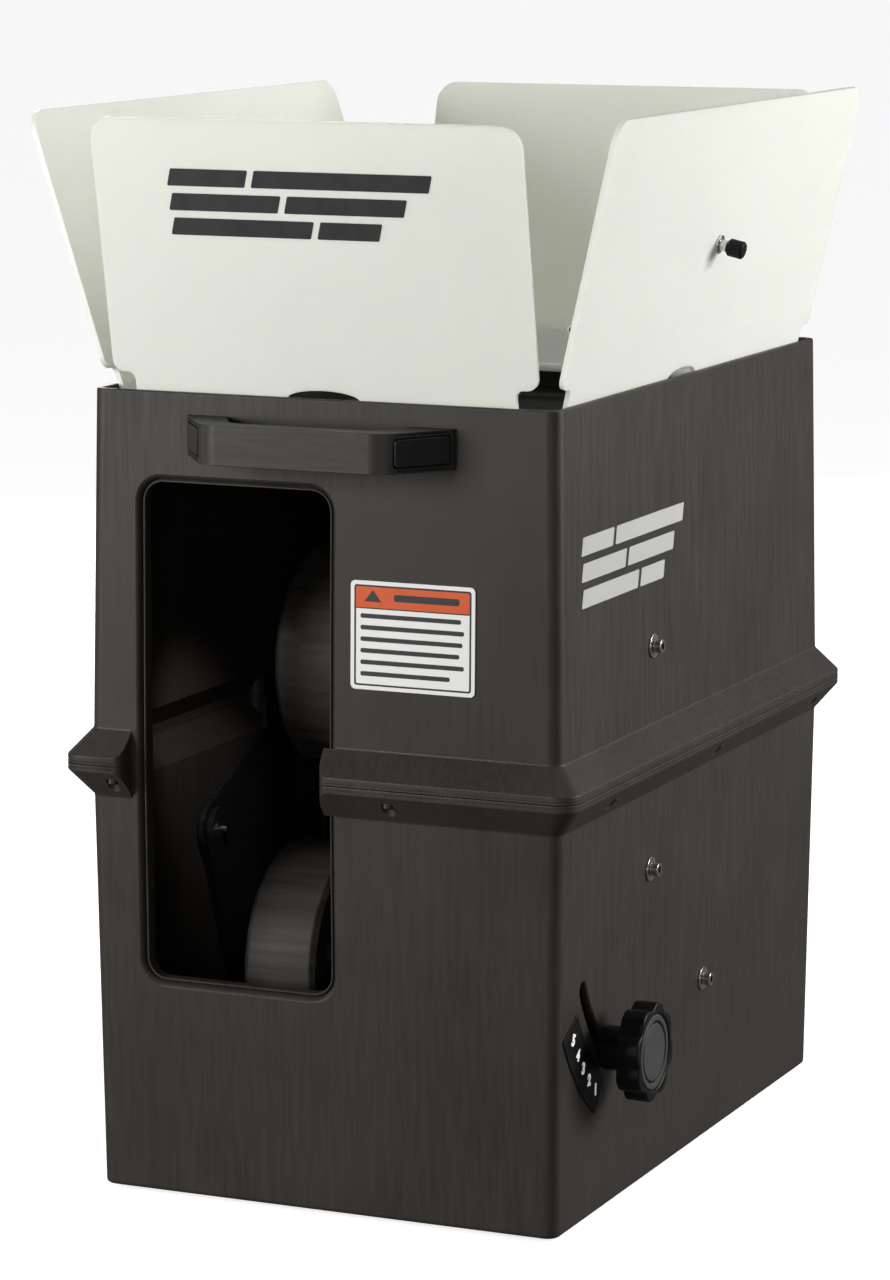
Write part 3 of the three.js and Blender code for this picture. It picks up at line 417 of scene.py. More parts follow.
TRAY = finish("tray_black", (0.022, 0.021, 0.020), 0.45, cloud=0.08, grain=0.08, bump=0.4,
              streak={"scale": (40, 300, 300), "tone": 0.06})
BOARD = finish("circuit_green", (0.012, 0.085, 0.035), 0.4, cloud=0.1, grain=0.15, grain_size=1.6, bump=0.3)
CASE = finish("battery_case", (0.014, 0.015, 0.016), 0.5, cloud=0.08, grain=0.12, bump=0.5)
# The label card glows faintly by emission: painted light that makes it whiter than the lamps alone do.
CARD_PAINTED_GLOW = finish("label_white_painted_glow", (0.88, 0.88, 0.85), 0.35, emit=0.12, cloud=0.01, grain=0.01, bump=0.05)
ORANGE = finish("label_orange", (0.80, 0.115, 0.022), 0.35, cloud=0.02, grain=0.02, bump=0.05)


# ---------------------------------------------------------------- housing

def section(z, grow, front_grow=None):
    """The housing's outline at a height, grown outwards by one amount, and by another at the front."""
    x, y = side_x(z) + grow, end_y(z) + grow
    front = y if front_grow is None else end_y(z) + front_grow
    r = max(CORNER + grow * (0.4 if grow > 0 else 1), 3)
    return [(px, py, z) for px, py in rounded_rect(-x, -front, x, y, r, 9)]


def ridge_hollow(seam, band, low):
    """What is hollowed out behind the ridge on the sides and back, round the screws' bosses."""
    inner, front = RIDGE["reach"] - WALL, -FRAME_DEPTH - 2
    ring = make("hollow", loft([section(seam, inner, front), section(band, inner, front),
                                section(low, -WALL, front), section(low, -WALL - 3, front - 2),
                                section(seam, -WALL - 3, front - 2)], loop=True))
    boss = lathe([(0, 225), (BOSS_RADIUS, 225), (BOSS_RADIUS, 305), (0, 305)], 32)
    combine(ring, [moved(boss, Matrix.Translation((x, y, 0))) for x, y in RIDGE_SCREWS])
    shape = [Vector(v.co) for v in ring.data.vertices], [list(f.vertices) for f in ring.data.polygons]
    bpy.data.objects.remove(ring)
    return shape


def opening_cutter(lean):
    """The front opening: the face, which slopes by lean there, rolls in round it to a thin bead."""
    roll = OPENING["roll"]
    steps = [(-0.4, roll)] + [(4.8 - 4.8 * math.cos(rad(a)), roll - (roll - 2.3) * math.sin(rad(a)))
                              for a in range(15, 91, 15)]
    steps += [(4.3, 1.9), (3.4, 1.5), (2.9, 1.0), (2.9, 0.6), (3.3, 0.15), (4.2, 0), (34, 0)]
    rings = []
    for depth, grow in steps:
        outline = rounded_rect(OPENING["x0"] - grow, OPENING["z0"] - grow, OPENING["x1"] + grow,
                               OPENING["z1"] + grow, OPENING["corner"] + grow, 8)
        rings.append([(x, depth - HALF_Y + lean * (z - SEAM), z) for x, z in outline])
    return loft(rings)


def opening_frame(z0, z1):
    """The thicker wall behind the front face, round the opening."""
    outline = rounded_rect(OPENING["x0"] - FRAME_EDGE, max(OPENING["z0"] - FRAME_EDGE, z0),
                           OPENING["x1"] + FRAME_EDGE, min(OPENING["z1"] + FRAME_EDGE, z1), 4, 4)
    return loft([[(x, y, z) for x, z in outline] for y in (3 - HALF_Y, FRAME_DEPTH - HALF_Y)])


def ridge_gap():
    """The gap where the ridge passes the opening, its ends rounded towards the front."""
    (x0, x1), z0, z1 = RIDGE_GAP, RIDGE["low"] - 6, RIDGE["top"] + 5.5
    rings = []
    for out, ease in [(-0.3, 0), (4, 0), (8, 0.8), (11, 2.6), (13, 6), (14.5, 11)]:
        y = -HALF_Y - out
        rings.append([(x0 - ease, y, z0), (x1 + ease, y, z0), (x1 + ease, y, z1), (x0 - ease, y, z1)])
    return loft(rings)


def arc_band(radius, width, start, end, steps=32):
    """An arc band about the head's pivot as (y, z) points; angles run down from the front."""
    def point(r, a):
        return PIVOT.y - r * math.cos(rad(a)), PIVOT.z - r * math.sin(rad(a))
    angles = [start + (end - start) * k / steps for k in range(steps + 1)]
    outer, inner = radius + width / 2, radius - width / 2
    return [point(outer, a) for a in angles] + [point(inner, a) for a in reversed(angles)]


def slot_outline(grow=0):
    """The arc slot with its round ends, as (y, z) points."""
    r, w = SLOT["radius"], SLOT["width"] / 2 + grow
    def end(a, start):
        y, z = PIVOT.y - r * math.cos(rad(a)), PIVOT.z - r * math.sin(rad(a))
        return [(y + w * math.cos(rad(b)), z + w * math.sin(rad(b))) for b in
                [start + 180 * k / 8 for k in range(1, 8)]]
    band = arc_band(r, 2 * w, SLOT["high"], SLOT["low"], 24)
    half = len(band) // 2
    return band[:half] + end(SLOT["low"], 180 + SLOT["low"]) + band[half:] + end(SLOT["high"], SLOT["high"])


def slot_cutter():
    rings = []
    for depth, grow in [(1, 1.8), (-0.8, 0), (-14, 0)]:
        rings.append([(side_x(z) + depth, y, z) for y, z in slot_outline(grow)])
    return loft(rings)


RIDGE_SCREWS = ([(-135, -236), (48, -236)] + [(x, y) for y in (-163, 17, 200) for x in (162, -162)]
                + [(x, 236) for x in (-100, 0, 100)])
CONTROL = {"x": 75, "z0": 291, "z1": 391, "cut_x": 64, "cut_z0": 302, "cut_z1": 380}


def groove(z):
    """A fine groove round the ridge's face, from a height up."""
    reach = RIDGE["reach"]
    return [(z, reach), (z + 0.3, reach - 0.6), (z + 0.7, reach - 0.6), (z + 1, reach)]


def housing():
    """Both shells, which meet at the seam in the middle of the ridge, and the screws that join them."""
    top, reach = SEAM - SEAM_GAP / 2, RIDGE["reach"]
    profile = fillet([(0, -12), (0, 0), (RIDGE["low"], 0), (RIDGE["band_low"], reach), *groove(264.6),
                      (top, reach), (top, -WALL), (WALL, -WALL)],
                     [0, 3, 2.5, 1.6, 0, 0, 0, 0, 0.5, 0, 0], 4)
    lower = make("lower_shell", loft([section(z, g) for z, g in profile]))
    wide, deep = SCREW_POCKET["radius"], SCREW_POCKET["depth"]
    pocket = lathe([(0, 0), (wide, 0), (wide, deep), (0, deep)], 24)
    pockets = [moved(pocket, Matrix.Translation((x, y, RIDGE["low"] - SCREW_POCKET["start"])))
               for x, y in RIDGE_SCREWS]
    combine(lower, [opening_frame(0, top)], "UNION")
    hollow = ridge_hollow(SEAM + 1, RIDGE["band_low"] + BEND, RIDGE["low"] + BEND)
    combine(lower, [hollow, opening_cutter(-DRAFT / SEAM), ridge_gap(), slot_cutter(), *pockets])
    dress(lower, "housing", BLACK, "lower_housing", sharp=32)

    bottom = SEAM + SEAM_GAP / 2
    profile = fillet([(bottom, -WALL), (bottom, reach), *groove(268.6), (RIDGE["band_top"], reach),
                      (RIDGE["top"], 0), (HEIGHT, 0), (HEIGHT, -WALL)],
                     [0, 0.5, 0, 0, 0, 0, 1.6, 2.5, 1.3, 0.9], 4, closed=True)
    upper = make("upper_shell", loft([section(z, g) for z, g in profile], loop=True))
    cut_x = CONTROL["cut_x"]
    control = slab(rounded_rect(-cut_x, CONTROL["cut_z0"], cut_x, CONTROL["cut_z1"], 3), -20, 20)
    turn = Matrix.Translation((0, HALF_Y, 0)) @ Matrix.Rotation(rad(90), 4, "X")
    combine(upper, [opening_frame(bottom, HEIGHT)], "UNION")
    hollow = ridge_hollow(SEAM - 1, RIDGE["band_top"] - BEND, RIDGE["top"] - BEND)
    combine(upper, [hollow, opening_cutter(DRAFT / (HEIGHT - SEAM)), ridge_gap(), moved(control, turn)])
    dress(upper, "housing", BLACK, "upper_housing", sharp=32)

    head = lathe(fillet([(0, 0.6), (1.2, 0.6), (1.2, -1.2), (3.4, -0.6), (3.4, 2.6), (0, 2.6)],
                        [0, 0, 0, 0.7, 0, 0]), 24)
    screws = [moved(head, Matrix.Translation((x, y, RIDGE["low"] + 10.2))) for x, y in RIDGE_SCREWS]
    dress(make("ridge_screws", *screws), "housing", STEEL_DARK)


def feet():
    profile = fillet([(0, -3), (9, -3), (10, 0), (4.5, 0), (4.5, 1.6), (0, 1.6)], [0, 0.8, 0.3, 0, 0, 0])
    for end, y in (("front", -FOOT_Y), ("rear", FOOT_Y)):
        for side, x in (("left", -FOOT_X), ("right", FOOT_X)):
            name = f"{end}_{side}_foot"
            foot = make(name + "_pad", lathe(profile, 48))
            dress(foot, "housing", RUBBER, name, Matrix.Translation((x, y, 0)))


def hexagon(radius):
    return [(radius * math.cos(rad(60 * k)), radius * math.sin(rad(60 * k))) for k in range(6)]


def socket_screw(name, place, head_z, shank, node, washer=None):
    """A socket-head screw whose head starts at head_z above the wall, with or without a washer, and painted
    shade in its socket.
    """
    profile = fillet([(0, -shank), (2.4, -shank), (2.4, head_z), (4.25, head_z), (4.25, head_z + 5),
                      (0, head_z + 5)], [0, 0.3, 0, 0.3, 0.6, 0], 4)
    screw = make(name, lathe(profile, 48))
    combine(screw, [slab(hexagon(2.6), head_z + 2.2, head_z + 9)])
    dress(screw, "housing", STEEL, node, place)
    if washer:
        ring = fillet([(2.7, 0), (7.5, 0), (7.5, 1.2), (2.7, 1.2)], [0, 0.3, 0.4, 0.2], 4, closed=True)
        dress(make(name + "_washer", lathe(ring, 64, loop=True)), "housing", STEEL, washer, place)
    # A near-black hexagon at the bottom of the socket: painted shade in the recess, not a part of the screw.
    painted_socket_shade = make(name + "_socket", slab(hexagon(2.45), head_z + 2.1, head_z + 2.6))
    dress(painted_socket_shade, "housing", DARK, (), place)


def side_screws():
    head_z = 1.5
    for name, y, z in (("upper", -78, 335.5), ("lower", 16, 106)):
        socket_screw(name + "_screw", on_wall("right", y, z), head_z, 9.2, name + "_side_bolt",
                     name + "_side_washer")
    socket_screw("right_pivot_screw", on_wall("right", PIVOT.y, PIVOT.z), head_z, 19.5, "right_pivot_bolt",
                 "right_pivot_washer")
    socket_screw("left_pivot_screw", on_wall("left", PIVOT.y, PIVOT.z), 0.4, 19.5, "left_pivot_bolt")


# ---------------------------------------------------------------- hopper panels

def panel_sizes(side):
    """How far the rim is up the sheet, the sheet's whole length, and the height of its lower steps."""
    p = PANELS[side]
    rim = (HEIGHT - joint_at(side + "_panel_fold").z) / math.cos(rad(p["lean"]))
    return rim, rim + p["rise"], rim + 13


def panel_outline(side):
    p = PANELS[side]
    half, tab, (_, length, shoulder) = p["half"], p["tab"], panel_sizes(side)
    right = [(tab, 0)]
    right += arc(tab + 5, shoulder - 7, 5, 180, 90, 6)
    right += arc(half - 7, shoulder + 5, 7, -90, 0, 6)
    right += arc(half - 14, length - 14, 14, 0, 90, 10)
    return right + [(-x, y) for x, y in reversed(right)]


def panel(side):
    p = PANELS[side]
    rim = panel_sizes(side)[0]
    sheet = make(side + "_sheet", slab(panel_outline(side), -SHEET / 2, SHEET / 2))
    barrel = moved(lathe([(0, -p["tab"]), (3, -p["tab"]), (3, p["tab"]), (0, p["tab"])], 24), AXIS_X)
    combine(sheet, [barrel], "UNION")
    bore = moved(lathe([(0, -300), (1.85, -300), (1.85, 300), (0, 300)], 20), AXIS_X)
    notch = [(p["notch"] + 24 * math.cos(rad(a)), rim - 1 + 6 * math.sin(rad(a))) for a in range(0, 360, 10)]
    cutters = [bore, slab(notch, -5, 5)]
    if side == "right":
        cutters.append(slab(arc(LATCH_AT[0], LATCH_AT[1], 4.3, 0, 345, 23), -5, 5))
    combine(sheet, cutters)
    dress(sheet, side + "_panel", MILKY_PAINTED_GLOW, side + "_panel", panel_place(side), edge=0.6,
          sharp=30)
    end = p["tab"] + 8
    rod = fillet([(0, -end), (1.5, -end), (1.5, end), (0, end)], [0, 0.4, 0.4, 0])
    dress(make(side + "_rod", lathe(rod, 20)), "housing", STEEL, side + "_hinge_rod",
          panel_place(side) @ AXIS_X)
    keep(side + "_hinge_rail", DARK, 0.4)


LATCH_AT = (0, panel_sizes("right")[0] + 82)


def latch():
    place = panel_place("right") @ Matrix.Translation((*LATCH_AT, 0))
    half = SHEET / 2
    collar = [(1.8, -half - 4), (6.5, -half - 4), (6.5, -half - 0.3), (4, -half - 0.3), (4, half + 0.3),
              (6, half + 0.3), (6, half + 1.6), (3.6, half + 1.6), (3.6, half + 6), (1.8, half + 6)]
    ring = lathe(fillet(collar, 0.3, 3, closed=True), 48, loop=True)
    dress(make("latch_bushing", ring), "right_panel", STEEL, "latch_collar", place)
    stem = [(0, -half - 5), (1.5, -half - 5), (1.5, half + 6.5), (4.4, half + 6.5), (5.5, half + 7.6),
            (5.5, half + 16), (4.6, half + 17), (0, half + 17)]
    outline = lathe(fillet(stem, [0, 0.4, 0, 0.5, 0.4, 0.5, 0.6, 0], 3), 72)
    points = []
    for x, y, z in outline[0]:
        r = math.hypot(x, y)
        ribbed = half + 7.4 < z < half + 16.2 and r > 5.2
        k = 1 - 0.05 * (round(math.degrees(math.atan2(y, x)) / 5) % 3 == 0) if ribbed else 1
        points.append((x * k, y * k, z))
    dress(make("latch_grip", (points, outline[1])), "latch_knob", KNOB_SIDE, "latch_knob",
          place)


# ---------------------------------------------------------------- handle

HANDLE_Z = 470


def handle():
    side = [(87, 0), (86.5, 2), (62, 36), (52, 40.5)]
    under = [(40, 27), (48, 23.5), (61, 0)]
    outline = side + [(-x, d) for x, d in reversed(side)] + [(-x, d) for x, d in reversed(under)] + under
    radii = [0, 1.5, 12, 14, 14, 12, 1.5, 0, 0, 8, 8, 8, 8, 0]
    back = -end_y(HANDLE_Z) - 0.2
    place = Matrix.Translation((0, back, HANDLE_Z))
    bar = make("handle_bar", slab([(x, -d) for x, d in fillet(outline, radii, 8, closed=True)], -12, 12))
    slope = math.atan2(34, 24.5)
    for name, sign in (("left", -1), ("right", 1)):
        turn = Matrix.Translation((sign * 74.4, -18.9, 0)) @ Matrix.Rotation(sign * slope, 4, "Z")
        face = Matrix.Rotation(rad(90), 4, "X")
        pocket = moved(slab(rounded_rect(-19.4, -8.9, 19.4, 8.9, 2.2, 4), -2.2, 5), turn @ face)
        slits = [moved(slab(rounded_rect(-17, s - 0.5, 17, s + 0.5, 0.45, 3), -1.2, 5), turn @ face)
                 for s in (-10.4, 10.4)]
        combine(bar, [pocket, *slits])
        cap = make(f"handle_cover_{name}", slab(rounded_rect(-18.6, -8.1, 18.6, 8.1, 1.8, 5), -2.0, 0.5))
        dress(cap, "housing", GLOSSY, f"handle_cap_{name}", place @ turn @ face, edge=0.7)
    dress(bar, "housing", GRIP, "carry_handle", place, edge=3.0, segments=5, sharp=30)


# ---------------------------------------------------------------- label, marks and scale

def label():
    x, z = 60.5, 357
    place = on_wall("front", x, z) @ Matrix.Translation((0, 0, 0.25))
    card = make("label_card", slab(rounded_rect(-40, -32.5, 40, 32.5, 3, 6), 0, 0.6))
    dress(card, "housing", CARD_PAINTED_GLOW, "front_label", place, edge=0.12, segments=2)
    outer = rounded_rect(-37.6, -30.1, 37.6, 30.1, 1.6, 5)
    inner = rounded_rect(-36.5, -29.0, 36.5, 29.0, 1, 5)
    rings = [[(px, py, h) for px, py in o] for o, h in
             ((outer, 0.5), (outer, 0.72), (inner, 0.72), (inner, 0.5))]
    dress(make("label_frame", loft(rings, loop=True)), "housing", INK, (), place)
    band = slab(rounded_rect(-36.9, 16.6, 36.9, 29.4, 0.8, 4), 0.5, 0.7)
    dress(make("label_band", band), "housing", ORANGE, (), place)
    line = slab(rounded_rect(-36.9, 15.9, 36.9, 16.6, 0.3, 2), 0.5, 0.72)
    bars = [line]
    for row, end in enumerate((31, 33, 32, 30, 33, 24)):
        y = 11.6 - 6.9 * row
        bars.append(slab(rounded_rect(-33.5, y - 1.35, end, y + 1.35, 1.0, 4), 0.5, 0.72))
    bars.append(slab(rounded_rect(-12, 21, 30, 25.2, 1.2, 4), 0.6, 0.74))
    bars.append(slab([(-31, 20.2), (-20, 20.2), (-25.5, 27.2)], 0.6, 0.74))
    dress(make("label_lines", *bars), "housing", INK, (), place)


def slanted(x0, x1, y0, y1, lean=0.28):
    """A printed bar that leans to the right, with a little rounding."""
    shift = (y1 - y0) * lean
    corners = [(x0, y0), (x1, y0), (x1 + shift, y1), (x0 + shift, y1)]
    return slab(fillet(corners, 0.9, 3, closed=True), 0, 0.16)


def marks(name, body, material, place, width, height):
    """A plain pattern of three leaning stripes, each broken once, and each shorter than the one above."""
    shapes = []
    for row, (end, gap) in enumerate(((1.0, 0.30), (0.90, 0.42), (0.80, 0.54))):
        top = height * (0.5 - row * 0.37)
        bottom = top - height * 0.26
        shapes.append(slanted(width * -0.5, width * (gap - 0.5), bottom, top))
        shapes.append(slanted(width * (gap - 0.475), width * (end - 0.5), bottom, top))
    dress(make(name, *shapes), body, material, (), place)


def scale():
    radius, figure_radius = 146, 146.5
    middle_y, middle_z = PIVOT.y - radius * 0.65, PIVOT.z - radius * 0.75
    place = on_wall("right", middle_y, middle_z) @ Matrix.Translation((0, 0, 0.15))

    def flat(points):
        return [(y - middle_y, z - middle_z) for y, z in points]
    plate = make("scale_band", slab(flat(arc_band(radius, 25, 29, 57.5)), 0, 0.7))
    dress(plate, "housing", PLATE, "scale_plate", place, edge=0.2, segments=2)
    figures = []
    for digit in range(1, 6):
        a = 54.0 - 5.3 * (digit - 1)
        y = -figure_radius * math.cos(rad(a)) + PIVOT.y - middle_y
        z = -figure_radius * math.sin(rad(a)) + PIVOT.z - middle_z
        figures.append(moved(lettering(str(digit), 9.5, 0.2, 0.5), Matrix.Translation((y, z, 0.8))
                             @ Matrix.Rotation(rad(a - 55), 4, "Z")))
    dress(make("scale_figures", *figures), "housing", BRIGHT_INK_PAINTED_GLOW, (), place)


# ---------------------------------------------------------------- elevation clamp

def knob_outline(radius, depth, lobes=8, steps=14):
    points = []
    for i in range(lobes * steps):
        a = 2 * math.pi * i / (lobes * steps)
        r = radius - depth * (0.5 - 0.5 * math.cos(lobes * a)) ** 2
        points.append((r * math.cos(a), r * math.sin(a)))
    return points


def elevation_knob():
    wall = side_x(PIVOT.z - 95) + 1
    stud = HEAD.inverted() @ joint_at("elevation_knob_turn")
    place = HEAD @ Matrix.Translation((wall, stud.y, stud.z)) @ AXIS_X
    start, thick = 17.5, 15
    body = make("knob_body", slab(knob_outline(30, 3.4), start, start + thick))
    dish = lathe(fillet([(0, start + thick - 1.3), (23.3, start + thick - 1.3), (24.4, start + thick + 3),
                         (0, start + thick + 3)], 0.3), 72)
    combine(body, [dish])
    dress(body, "elevation_knob", KNOB_SIDE, "elevation_knob", place, edge=1.8, segments=4,
          sharp=30)
    neck = fillet([(4.1, 0.2), (13.4, 0.2), (13.4, start - 1), (16, start + 0.5), (4.1, start + 0.5)],
                  [0, 0.8, 3, 0, 0], 4, closed=True)
    dress(make("knob_neck", lathe(neck, 64, loop=True)), "elevation_knob", KNOB_SIDE, (),
          place)
    top = start + thick
    face = fillet([(0, top - 2), (0.01, top - 0.5), (17.2, top - 0.6), (17.8, top - 1.4), (18.8, top - 1.4),
                   (19.4, top - 0.4), (22.3, top - 0.4), (22.9, top - 1.2), (22.9, top - 2), (0, top - 2)],
                  [0, 0, 0.5, 0.3, 0.3, 0.5, 0.6, 0, 0, 0], 4)
    dress(make("knob_disc", lathe(face, 72)), "elevation_knob", KNOB_FACE, (), place)
    keep("elevation_stud", STEEL, 0.3)


# ---------------------------------------------------------------- throwing head

def wheel(name):
    at = WHEEL_AT[name]
    place = HEAD @ Matrix.Translation((0, at.y, at.z)) @ AXIS_X
    radius, hub, middle, half = WHEEL["radius"], WHEEL["hub"], WHEEL["x"], WHEEL["width"] / 2
    x0, x1 = middle - half, middle + half
    tread = [(hub + 0.3, x0), (radius - 3, x0), (radius, x0 + 3.5), (radius + 0.6, middle),
             (radius, x1 - 3.5), (radius - 3, x1), (hub + 0.3, x1)]
    ring = lathe(fillet(tread, [1, 1.6, 2.5, 0, 2.5, 1.6, 1], 4, closed=True), 128, loop=True)
    dress(make(name + "_tread", ring), name + "_wheel", TREAD, name + "_wheel_tyre", place)
    edge = -9
    profile = [(0, x0 + 6), (12, x0 + 6), (14, x0 + 14), (hub - 6, x0 + 14), (hub - 4, x0 + 2), (hub, x0 + 2),
               (hub, x1 - 2), (hub - 4, x1 - 2), (hub - 6, x1 - 14), (14, x1 - 14), (11, x1 + 2), (4, x1 + 2),
               (4, edge + 2), (0, edge + 2)]
    disc = make(name + "_hub", lathe(fillet(profile, 1.2, 3), 96))
    holes = [moved(lathe([(0, -40), (8, -40), (8, 40), (0, 40)], 28),
                   Matrix.Translation((29 * math.cos(rad(60 * k)), 29 * math.sin(rad(60 * k)), middle)))
             for k in range(6)]
    combine(disc, holes)
    dress(disc, name + "_wheel", ALUMINIUM, name + "_wheel_hub", place, sharp=35)
    can = fillet([(0, edge + 4), (4.0, edge + 4), (4.0, edge - 4), (10, edge - 4), (10, edge + 0.4),
                  (29, edge + 0.4), (29, edge + 76), (26, edge + 80), (9, edge + 80), (9, edge + 86),
                  (0, edge + 86)],
                 [0, 0, 0, 0.6, 0, 1.5, 2, 1, 0.6, 1, 0], 3)
    motor = make(name + "_motor", lathe(can, 72))
    vents = [moved(slab(rounded_rect(-2, -9, 2, 9, 1.8, 4), 24, 34),
                   Matrix.Translation((0, 0, edge + 60)) @ Matrix.Rotation(rad(60 * k), 4, "Z")
                   @ Matrix.Rotation(rad(90), 4, "X")) for k in range(6)]
    combine(motor, vents)
    dress(motor, "throwing_head", BLACK_METAL, name + "_wheel_motor", place, sharp=35)


def throwing_head():
    for name in ("upper", "lower"):
        wheel(name)
    rods = {"upper": (83.9, -47.1), "lower": (75.1, -113.2)}
    profile = fillet([(0, -144.4), (5, -144.4), (5, 144.4), (0, 144.4)], [0, 0.8, 0.8, 0])
    for name, (y, z) in rods.items():
        dress(make(name + "_rod_bar", lathe(profile, 40)), "throwing_head", STEEL_DARK,
              name + "_tie_rod", HEAD @ Matrix.Translation((0, y, z)) @ AXIS_X)
    for node in ("head_main_plate", "head_right_plate", "head_left_arm"):
        keep(node, BLACK_METAL, 0.6)


# ---------------------------------------------------------------- feeder

def feeder():
    y, radius, sheet = WELL["y"], WELL["radius"], WELL["sheet"]
    half_x, half_y = 146, 216
    corners = [math.atan2(sy * half_y - y, sx * half_x) for sx, sy in ((1, 1), (-1, 1), (-1, -1), (1, -1))]
    angles = []
    for start, end in zip(corners, corners[1:] + corners[:1]):
        end += 2 * math.pi if end < start else 0
        angles += [start + (end - start) * k / 24 for k in range(24)]

    def rim(z, grow=0):
        ring = []
        for a in angles:
            c, s = math.cos(a), math.sin(a)
            reach = min((half_x + grow) / max(abs(c), 1e-6),
                        (half_y + grow - math.copysign(y, s)) / max(abs(s), 1e-6))
            ring.append((reach * c, y + reach * s, z))
        return ring

    def circle(r, z):
        return [(r * math.cos(a), y + r * math.sin(a), z) for a in angles]
    inner, rim_z, edge = radius + sheet + 0.4, WELL["rim"], WELL["edge"]
    funnel = loft([circle(inner, edge - sheet), rim(rim_z - sheet), rim(rim_z + sheet),
                   rim(rim_z + sheet, -sheet), rim(rim_z, -sheet - 1), circle(inner + 4, edge + 1),
                   circle(inner, edge)], loop=True)
    dress(make("funnel_sheet", funnel), "housing", TRAY, "hopper_funnel", edge=0.5, sharp=30)

    floor, hole_radius = WELL["floor"], WELL["hole"]
    profile = fillet([(0, floor - sheet), (radius + sheet, floor - sheet), (radius + sheet, edge),
                      (radius, edge), (radius, floor), (0, floor)], [0, 2, 1, 1, 2, 0], 4)
    pan = make("pan_sheet", lathe(profile, 96))
    drop_x = WHEEL["x"]
    drop_y = math.sqrt(ROTOR["centre"] ** 2 - drop_x ** 2)
    hole = moved(lathe([(0, floor - 10), (hole_radius, floor - 10), (hole_radius, floor + 10),
                        (0, floor + 10)], 64), Matrix.Translation((drop_x, drop_y, 0)))
    shaft = lathe([(0, floor - 10), (9, floor - 10), (9, floor + 10), (0, floor + 10)], 32)
    combine(pan, [hole, shaft])
    centre = Matrix.Translation((0, y, 0))
    dress(pan, "housing", TRAY, "feeder_pan", centre, sharp=35)

    bottom, top, reach, wide = ROTOR["bottom"], ROTOR["top"], ROTOR["radius"], ROTOR["pocket"]
    profile = fillet([(0, bottom - 20), (5, bottom - 20), (5, bottom), (reach, bottom), (reach, top - 12),
                      (reach - 4, top - 8), (40, top), (24, top + 14), (0, top + 20)],
                     [0, 0.5, 0, 1, 3, 3, 12, 8, 0], 5)
    rotor = make("rotor_wheel", lathe(profile, 120))
    first = math.atan2(drop_y, drop_x)
    pocket = lathe([(0, bottom - 5), (wide, bottom - 5), (wide, top + 30), (0, top + 30)], 72)
    pockets = []
    for k in range(ROTOR["pockets"]):
        a = first + k * 2 * math.pi / ROTOR["pockets"]
        at = Matrix.Translation((ROTOR["centre"] * math.cos(a), ROTOR["centre"] * math.sin(a), 0))
        pockets.append(moved(pocket, at))
    combine(rotor, pockets)
    dress(rotor, "feed_rotor", DARK, "feed_rotor", centre, edge=0.8, sharp=35)
    cap = fillet([(0, top + 12), (9, top + 12), (9, top + 21), (0, top + 22)], [0, 0, 1.5, 0], 4)
    dress(make("rotor_cap", lathe(cap, 48)), "feed_rotor", STEEL_DARK, (), centre)
    keep("feed_gearmotor", ALUMINIUM, 0.6)
    keep("ball_chute", DARK, 0.5)


# ---------------------------------------------------------------- controls and power

ROCKER_REST = 8


def fluted(radii):
    """An outline whose points stand at equal angles, each at its own radius."""
    count = len(radii)
    return [(r * math.cos(2 * math.pi * k / count), r * math.sin(2 * math.pi * k / count))
            for k, r in enumerate(radii)]


def domed_screw():
    """A low domed screw head with a round recess."""
    profile = [(0, 0.6), (1.0, 0.6), (1.2, 1.5), (2.9, 0.9), (3.1, 0), (0, 0)]
    return lathe(fillet(profile, [0, 0, 0.2, 0.5, 0, 0], 3), 32)


